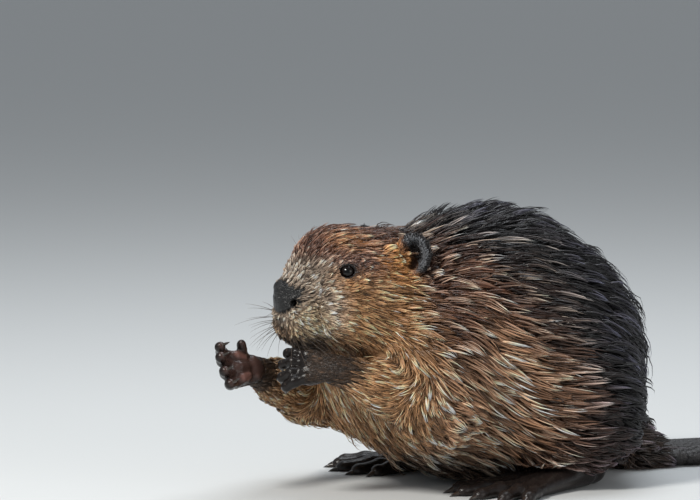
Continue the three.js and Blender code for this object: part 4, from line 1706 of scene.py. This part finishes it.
# Clumps are made in groups of about one size, up to these sizes in millimetres.
CLUMP_SIZES = (3.2, 4.4, 6.4, 99.0)
# Painted sheen: a bluish reflection of the sky on the top of the coat, and whitish glints on its front.
TOP_SHEEN, FRONT_SHEEN = srgb(96, 98, 116), srgb(234, 216, 194)
# Along a lock, how bright its colour is, and how much of the painted sheen its tip takes. It is darkest at
# the root, partly for the darker hair there and partly as painted shade deep in the coat.
ROOT_TO_TIP = (0, 0.3, 0.7, 1.0), (0.22, 0.62, 1.1, 1.45)
SHEEN_TO_TIP = (0, 0.4, 1.0), (0.0, 0.35, 1.0)


def by_place(points, trunk, face):
    """A value that changes from the face to the trunk."""
    q = to_head(tuple(points.T))
    return face + (trunk - face) * smooth(-40, 10, q[1])


def lift_at(points):
    """How high in millimetres the coat stands off the skin: least on the face and by eyes and hands."""
    q = to_head(tuple(points.T))
    near_eye = np.minimum(*[eye_parts(q, side)[0] for side in SIDES.values()])
    lift = by_place(points, 4.8, 1.2) * (0.4 + 0.6 * smooth(9, 16, near_eye))
    return lift * smooth(-5, 14, off_hands(points))


def stand_at(points):
    """How far the tips spring away from the body: most on the nape and the crown."""
    x, y, z = points.T
    nape = smooth(60, -10, y) * smooth(-150, -80, y) * smooth(60, 20, np.abs(x)) * smooth(200, 220, z)
    crown = smooth(-110, -140, y) * smooth(204, 216, z) * smooth(46, 20, np.abs(x))
    return 0.12 + 0.55 * nape + 0.4 * crown


def unbent(path, length):
    """Which locks run without a kink, without being drawn out and no higher than the tips may stand."""
    parts = np.diff(path, axis=1)
    sizes = np.linalg.norm(parts, axis=2)
    ways = parts / np.maximum(sizes, 1e-6)[:, :, None]
    turn = (ways[:, 1:] * ways[:, :-1]).sum(axis=2).min(axis=1)
    low = path[:, :, 2].max(axis=1) < TIP_HEIGHT
    return low & (turn > 0.25) & (sizes.sum(axis=1) < 1.6 * length + 1)


def grow_layer(skin, layer, settings, seed):
    """Grows one layer of locks and splits it into interleaved pieces."""
    rng = np.random.default_rng(seed)

    def density(points):
        lock_area = lock_length(points) * lock_width(points) * 0.6
        return settings.cover * layer["cover"] * furred(points) / lock_area * (1 - on_ear(points)[0])

    roots, uv = skin.scatter(density, rng)
    grow = furred(roots)
    keep = grow > 0.06
    roots, uv, grow = roots[keep], uv[keep], grow[keep]
    length = lock_length(roots) * layer["length"] * settings.length
    width = lock_width(roots) * settings.width * rng.lognormal(0, 0.2, len(roots))
    lift = lift_at(roots) * layer["lift"] * (0.4 + 0.6 * grow)
    stand = stand_at(roots) * layer["lift"]
    by_hands = 3.0 + 0.3 * np.maximum(off_hands(roots), 0)
    size_of = np.minimum(by_place(roots, 8.0, 3.6), by_hands) * layer["clump"]
    path = np.zeros((len(roots), STEPS + 1, 3))
    member = np.zeros(len(roots), dtype=np.int64)
    for low, high in zip((0.0, *CLUMP_SIZES), CLUMP_SIZES):
        chosen = np.flatnonzero((size_of >= low) & (size_of < high))
        if not len(chosen):
            continue
        size = float(size_of[chosen].mean())
        args = [v[chosen] for v in (length, lift, stand)]
        path[chosen], numbers = comb(roots[chosen], rng, *args, layer["gather"], size, layer["wander"])
        member[chosen] = numbers + member.max() + 1
    smoothly = unbent(path, length)
    roots, uv, width, member, path = (v[smoothly] for v in (roots, uv, width, member, path))
    contrast = by_place(roots, 1.0, 0.88)
    shade = rng.normal(0, 0.55, member.max() + 1)[member] + rng.normal(0, 0.26, len(roots))
    shade = layer["bright"] * np.exp(shade * contrast)
    base = coat_colour(roots)
    _, y, z = roots.T
    # Painted sheen: the sky's bluish reflection on the top behind the head and on the rear, and whitish
    # glints elsewhere. The glints are strongest low on the front flank and absent by the hands. Only the
    # brightest clumps take the sheen, towards their tips.
    sky_reflection_share = np.maximum(smooth(190, 222, z) * smooth(-80, -40, y), smooth(-30, 40, y))
    sheen = mix(np.tile(FRONT_SHEEN, (len(roots), 1)), TOP_SHEEN, sky_reflection_share)
    front_glint_share = smooth(150, 115, z) * smooth(30, -20, y)
    plain = smooth(2, 24, off_hands(roots))
    pale = mix(base, sheen, (0.45 + 0.3 * front_glint_share) * by_place(roots, 1.0, 0.55) * plain)
    light = np.clip((shade - 0.95) * 1.1, 0, 1)

    def colour_of(part):
        def colour(along_lock):
            # Darker towards the root, partly as painted shade deep in the coat.
            ramp = np.interp(along_lock, *ROOT_TO_TIP)
            tip = np.interp(along_lock, *SHEEN_TO_TIP)
            # The painted sheen that the tip of a bright clump takes.
            lighter = (pale[part] - base[part])[:, None] * (tip[None] * light[part][:, None])[:, :, None]
            body = base[part][:, None] + lighter
            return np.clip(body * (ramp[None] * shade[part][:, None])[:, :, None], 0.002, 0.7)

        return colour

    order = rng.permutation(len(roots))
    name, pieces = layer["name"], layer["pieces"]
    for n in range(pieces):
        part = order[n::pieces]
        obj = lock_mesh(f"{name}_{n + 1}", path[part], width[part], uv[part], colour_of(part), rng)
        obj.data.materials.append(shared(coat_material))
        finish_piece(obj, "fur_flank" if n % 2 else "fur_back")
    print(f"{name}: {len(roots)} locks, {len(roots) * TRIANGLES_A_LOCK // pieces} triangles a piece")


def grow_ear_fur(skin, seed):
    """Covers the ears in short fur that runs from their roots to their edges."""
    rng = np.random.default_rng(seed)
    roots, uv = skin.scatter(lambda points: 1.5 * on_ear(points)[0], rng)

    def lie(at):
        r, left = in_ear_frames(at)
        way = np.stack([r[:, 0], 0 * r[:, 0] - 0.05, r[:, 2] + 12], axis=1)
        turned = [way @ np.array(ear_frame(side).to_3x3()).T for side in SIDES.values()]
        way = np.where(left[:, None], *turned)
        return unit(np.stack(way_from_head(*way.T), axis=1))

    count = len(roots)
    path, _ = comb(
        roots,
        rng,
        length=np.full(count, 3.4),
        lift=np.full(count, 0.7),
        stand=np.full(count, 0.8),
        gather=0.5,
        clump_size=1.6,
        wander=0.25,
        form=skin_form,
        lie=lie,
    )
    base = ear_colour(roots) * rng.lognormal(0, 0.35, count)[:, None]

    def colour(along_lock):
        # Darker at the root and lighter at the tip, partly as painted shade deep in the fur.
        return base[:, None] * np.interp(along_lock, (0, 1.0), (0.7, 1.5))[None, :, None]

    obj = lock_mesh("ear_fur", path, np.full(count, 0.7), uv, colour, rng)
    obj.data.materials.append(shared(coat_material))
    finish_piece(obj, "fur_back")
    print(f"ear_fur: {count} locks")


class BEAVER_OT_coat(bpy.types.Operator):
    """Grows the combed, clumped coat in its layers over the skin"""

    bl_idname = "beaver.coat"
    bl_label = "Coat"

    def execute(self, context):
        if "skin" not in STATE:
            raise RuntimeError("the skin comes before the coat")
        for n, layer in enumerate(LAYERS):
            grow_layer(STATE["skin"], layer, context.scene.beaver_coat, SEEDS["coat"] + n)
        grow_ear_fur(STATE["skin"], SEEDS["ear fur"])
        return {"FINISHED"}


# ---- Stage ---------------------------------------------------------------------------------------
FLOOR_REACH = 12.0
# The camera's place in degrees and millimetres, and where in its frame the body stands.
CAMERA_AZIMUTH, CAMERA_ELEVATION = 57.0, 5.0
CAMERA_DISTANCE = 4000.0
SENSOR_WIDTH = 36.0
FRAME_WIDTH, FRAME_HEIGHT = 700, 500
MM_PER_PIXEL = 0.85
BODY_COLUMN = 480
AIM_ROW, AIM_HEIGHT = 363.7, 98


def lamp(name, at, target, size, power, colour):
    """A soft lamp that faces its target."""
    data = bpy.data.lights.new(name, "AREA")
    data.shape = "RECTANGLE"
    data.size, data.size_y = size
    data.energy = power
    data.color = colour
    obj = new_object(name, data)
    obj.location = at
    obj.rotation_euler = (Vector(target) - Vector(at)).to_track_quat("-Z", "Y").to_euler()


class BEAVER_OT_stage(bpy.types.Operator):
    """Lays the pale floor and sets up the soft lights and the camera"""

    bl_idname = "beaver.stage"
    bl_label = "Stage"

    def execute(self, context):
        scene = context.scene
        settings = scene.beaver_stage
        world = bpy.data.worlds.new("studio")
        world.use_nodes = True
        sky = world.node_tree.nodes["Background"]
        sky.inputs["Color"].default_value = (*settings.sky, 1.0)
        sky.inputs["Strength"].default_value = settings.sky_strength
        scene.world = world
        scene.view_settings.view_transform = "Standard"
        mesh = bpy.data.meshes.new("floor")
        corners = [(x * FLOOR_REACH, y * FLOOR_REACH, 0) for x, y in ((-1, -1), (1, -1), (1, 1), (-1, 1))]
        mesh.from_pydata(corners, [], [(0, 1, 2, 3)])
        floor = new_object("floor", mesh)
        made, _, shader = material("pale_floor", Roughness=0.6)
        shader.inputs["Base Color"].default_value = (*settings.floor, 1.0)
        mesh.materials.append(made)
        power = settings.light
        lamp("key", (0.5, -1.9, 1.9), (0, -0.1, 0.1), (0.55, 0.55), 58 * power, (1.0, 0.97, 0.92))
        lamp("top", (-0.4, 0.5, 2.4), (0, 0, 0.1), (1.6, 1.2), 34 * power, (0.9, 0.95, 1.0))
        lamp("fill", (2.3, 0.6, 0.9), (0, 0, 0.12), (1.2, 1.2), 10 * power, (1.0, 0.97, 0.93))
        a, e = math.radians(CAMERA_AZIMUTH), math.radians(CAMERA_ELEVATION)
        back = Vector((math.sin(a) * math.cos(e), -math.cos(a) * math.cos(e), math.sin(e)))
        right = Vector((math.cos(a), math.sin(a), 0))
        up = Vector((-math.sin(a) * math.sin(e), math.cos(a) * math.sin(e), math.cos(e)))
        rise = (AIM_ROW - FRAME_HEIGHT / 2) * MM_PER_PIXEL + AIM_HEIGHT * math.cos(e)
        centre = right * (FRAME_WIDTH / 2 - BODY_COLUMN) * MM_PER_PIXEL + up * rise
        data = bpy.data.cameras.new("camera")
        data.sensor_width = SENSOR_WIDTH
        data.lens = SENSOR_WIDTH * CAMERA_DISTANCE / (FRAME_WIDTH * MM_PER_PIXEL)
        data.clip_start, data.clip_end = 0.05, 50.0
        camera = new_object("camera", data)
        camera.location = (centre + back * CAMERA_DISTANCE + Vector(SHIFT)) / 1000.0
        camera.rotation_mode = "QUATERNION"
        camera.rotation_quaternion = (-back).to_track_quat("-Z", "Y")
        scene.camera = camera
        return {"FINISHED"}


# ---- Settings, panel and main --------------------------------------------------------------------
def colour_property(label, about, *values):
    """A colour that can be changed in the panel, with its default as the eye reads it."""
    return bpy.props.FloatVectorProperty(
        name=label, description=about, subtype="COLOR", size=3, min=0.0, max=1.0, default=tuple(srgb(*values))
    )


class BEAVER_PG_coat(bpy.types.PropertyGroup):
    cover: bpy.props.FloatProperty(
        name="Cover", description="How many locks lie over each other", default=3.05, min=0.5, max=6.0
    )
    length: bpy.props.FloatProperty(
        name="Length",
        description="Length of the locks against their usual one",
        default=1.0,
        subtype="FACTOR",
        min=0.5,
        max=1.5,
    )
    width: bpy.props.FloatProperty(
        name="Width",
        description="Width of the locks against their usual one",
        default=1.0,
        subtype="FACTOR",
        min=0.5,
        max=2.0,
    )


class BEAVER_PG_colours(bpy.types.PropertyGroup):
    back: colour_property("Back", "The coat along the back and the rump", 29, 24, 26)
    flank: colour_property("Flank", "The coat on the sides of the trunk", 104, 66, 46)
    warm: colour_property("Shoulder", "The coat on the shoulder and the upper arm", 212, 162, 124)
    belly: colour_property("Belly", "The coat under the belly", 92, 72, 58)
    crown: colour_property("Crown", "The coat on the crown and the forehead", 114, 74, 56)
    cheek: colour_property("Cheek", "The coat on the cheeks and the throat", 196, 146, 100)
    orange: colour_property("Ear patch", "The warm patches before the ear and behind the eye", 224, 154, 88)
    grey: colour_property("Muzzle", "The grizzled coat of the muzzle", 182, 166, 150)
    pale: colour_property("Upper lip", "The pale patch on the upper lip", 255, 222, 180)
    dark: colour_property("Dark marks", "The chin, the lower arms and the ring round each eye", 30, 24, 22)
    nose: colour_property("Nose", "The bare pad of the nose", 11, 10, 10)
    lips: colour_property("Lips", "The line of the mouth", 22, 18, 17)
    lid: colour_property("Eyelids", "The rim of each eyelid", 20, 16, 15)
    ear: colour_property("Inner ear", "The skin inside the ear", 104, 106, 110)
    # The depth of the ear is darkened as painted shade, and its back and edge are partly darkened that way
    # too.
    deep: colour_property("Ear opening", "The depth of the ear", 24, 19, 18)
    ear_back: colour_property("Outer ear", "The short hair behind the ear and along its edge", 26, 23, 24)
    hand: colour_property("Hands", "The skin on the backs of the hands", 24, 19, 17)
    palm: colour_property("Palms", "The skin of the palms", 70, 50, 45)
    pads: colour_property("Palm pads", "The cushions of the palms and fingertips", 150, 106, 96)
    foot: colour_property("Hind feet", "The skin of the hind feet and their webs", 36, 30, 28)
    tail: colour_property("Tail", "The scaly hide of the tail", 50, 46, 45)


class BEAVER_PG_stage(bpy.types.PropertyGroup):
    light: bpy.props.FloatProperty(
        name="Light",
        description="Strength of the studio lamps",
        default=1.0,
        subtype="FACTOR",
        min=0.0,
        max=4.0,
    )
    sky_strength: bpy.props.FloatProperty(
        name="Surrounding light",
        description="Strength of the light from all round",
        default=0.4,
        min=0.0,
        max=4.0,
    )
    sky: colour_property("Surroundings", "Colour of the light from all round", 226, 232, 238)
    floor: colour_property("Floor", "Colour of the floor", 206, 208, 208)


class BEAVER_PT_panel(bpy.types.Panel):
    bl_idname = "BEAVER_PT_panel"
    bl_label = "Beaver"
    bl_space_type = "VIEW_3D"
    bl_region_type = "UI"
    bl_category = "Beaver"

    def draw(self, context):
        scene = context.scene
        for settings in (scene.beaver_coat, scene.beaver_colours, scene.beaver_stage):
            column = self.layout.column()
            for name in settings.__annotations__:
                column.prop(settings, name)
        column = self.layout.column()
        for made in OPERATORS:
            column.operator(made.bl_idname)


OPERATORS = (
    BEAVER_OT_stage,
    BEAVER_OT_skin,
    BEAVER_OT_eyes,
    BEAVER_OT_claws,
    BEAVER_OT_tail_scales,
    BEAVER_OT_whiskers,
    BEAVER_OT_coat,
)
CLASSES = (BEAVER_PG_coat, BEAVER_PG_colours, BEAVER_PG_stage, *OPERATORS, BEAVER_PT_panel)


def register():
    for made in CLASSES:
        bpy.utils.register_class(made)
    bpy.types.Scene.beaver_coat = bpy.props.PointerProperty(type=BEAVER_PG_coat)
    bpy.types.Scene.beaver_colours = bpy.props.PointerProperty(type=BEAVER_PG_colours)
    bpy.types.Scene.beaver_stage = bpy.props.PointerProperty(type=BEAVER_PG_stage)


def unregister():
    del bpy.types.Scene.beaver_coat
    del bpy.types.Scene.beaver_colours
    del bpy.types.Scene.beaver_stage
    for made in reversed(CLASSES):
        bpy.utils.unregister_class(made)


def main():
    register()
    for made in OPERATORS:
        group, name = made.bl_idname.split(".")
        getattr(getattr(bpy.ops, group), name)()


if __name__ == "__main__":
    main()
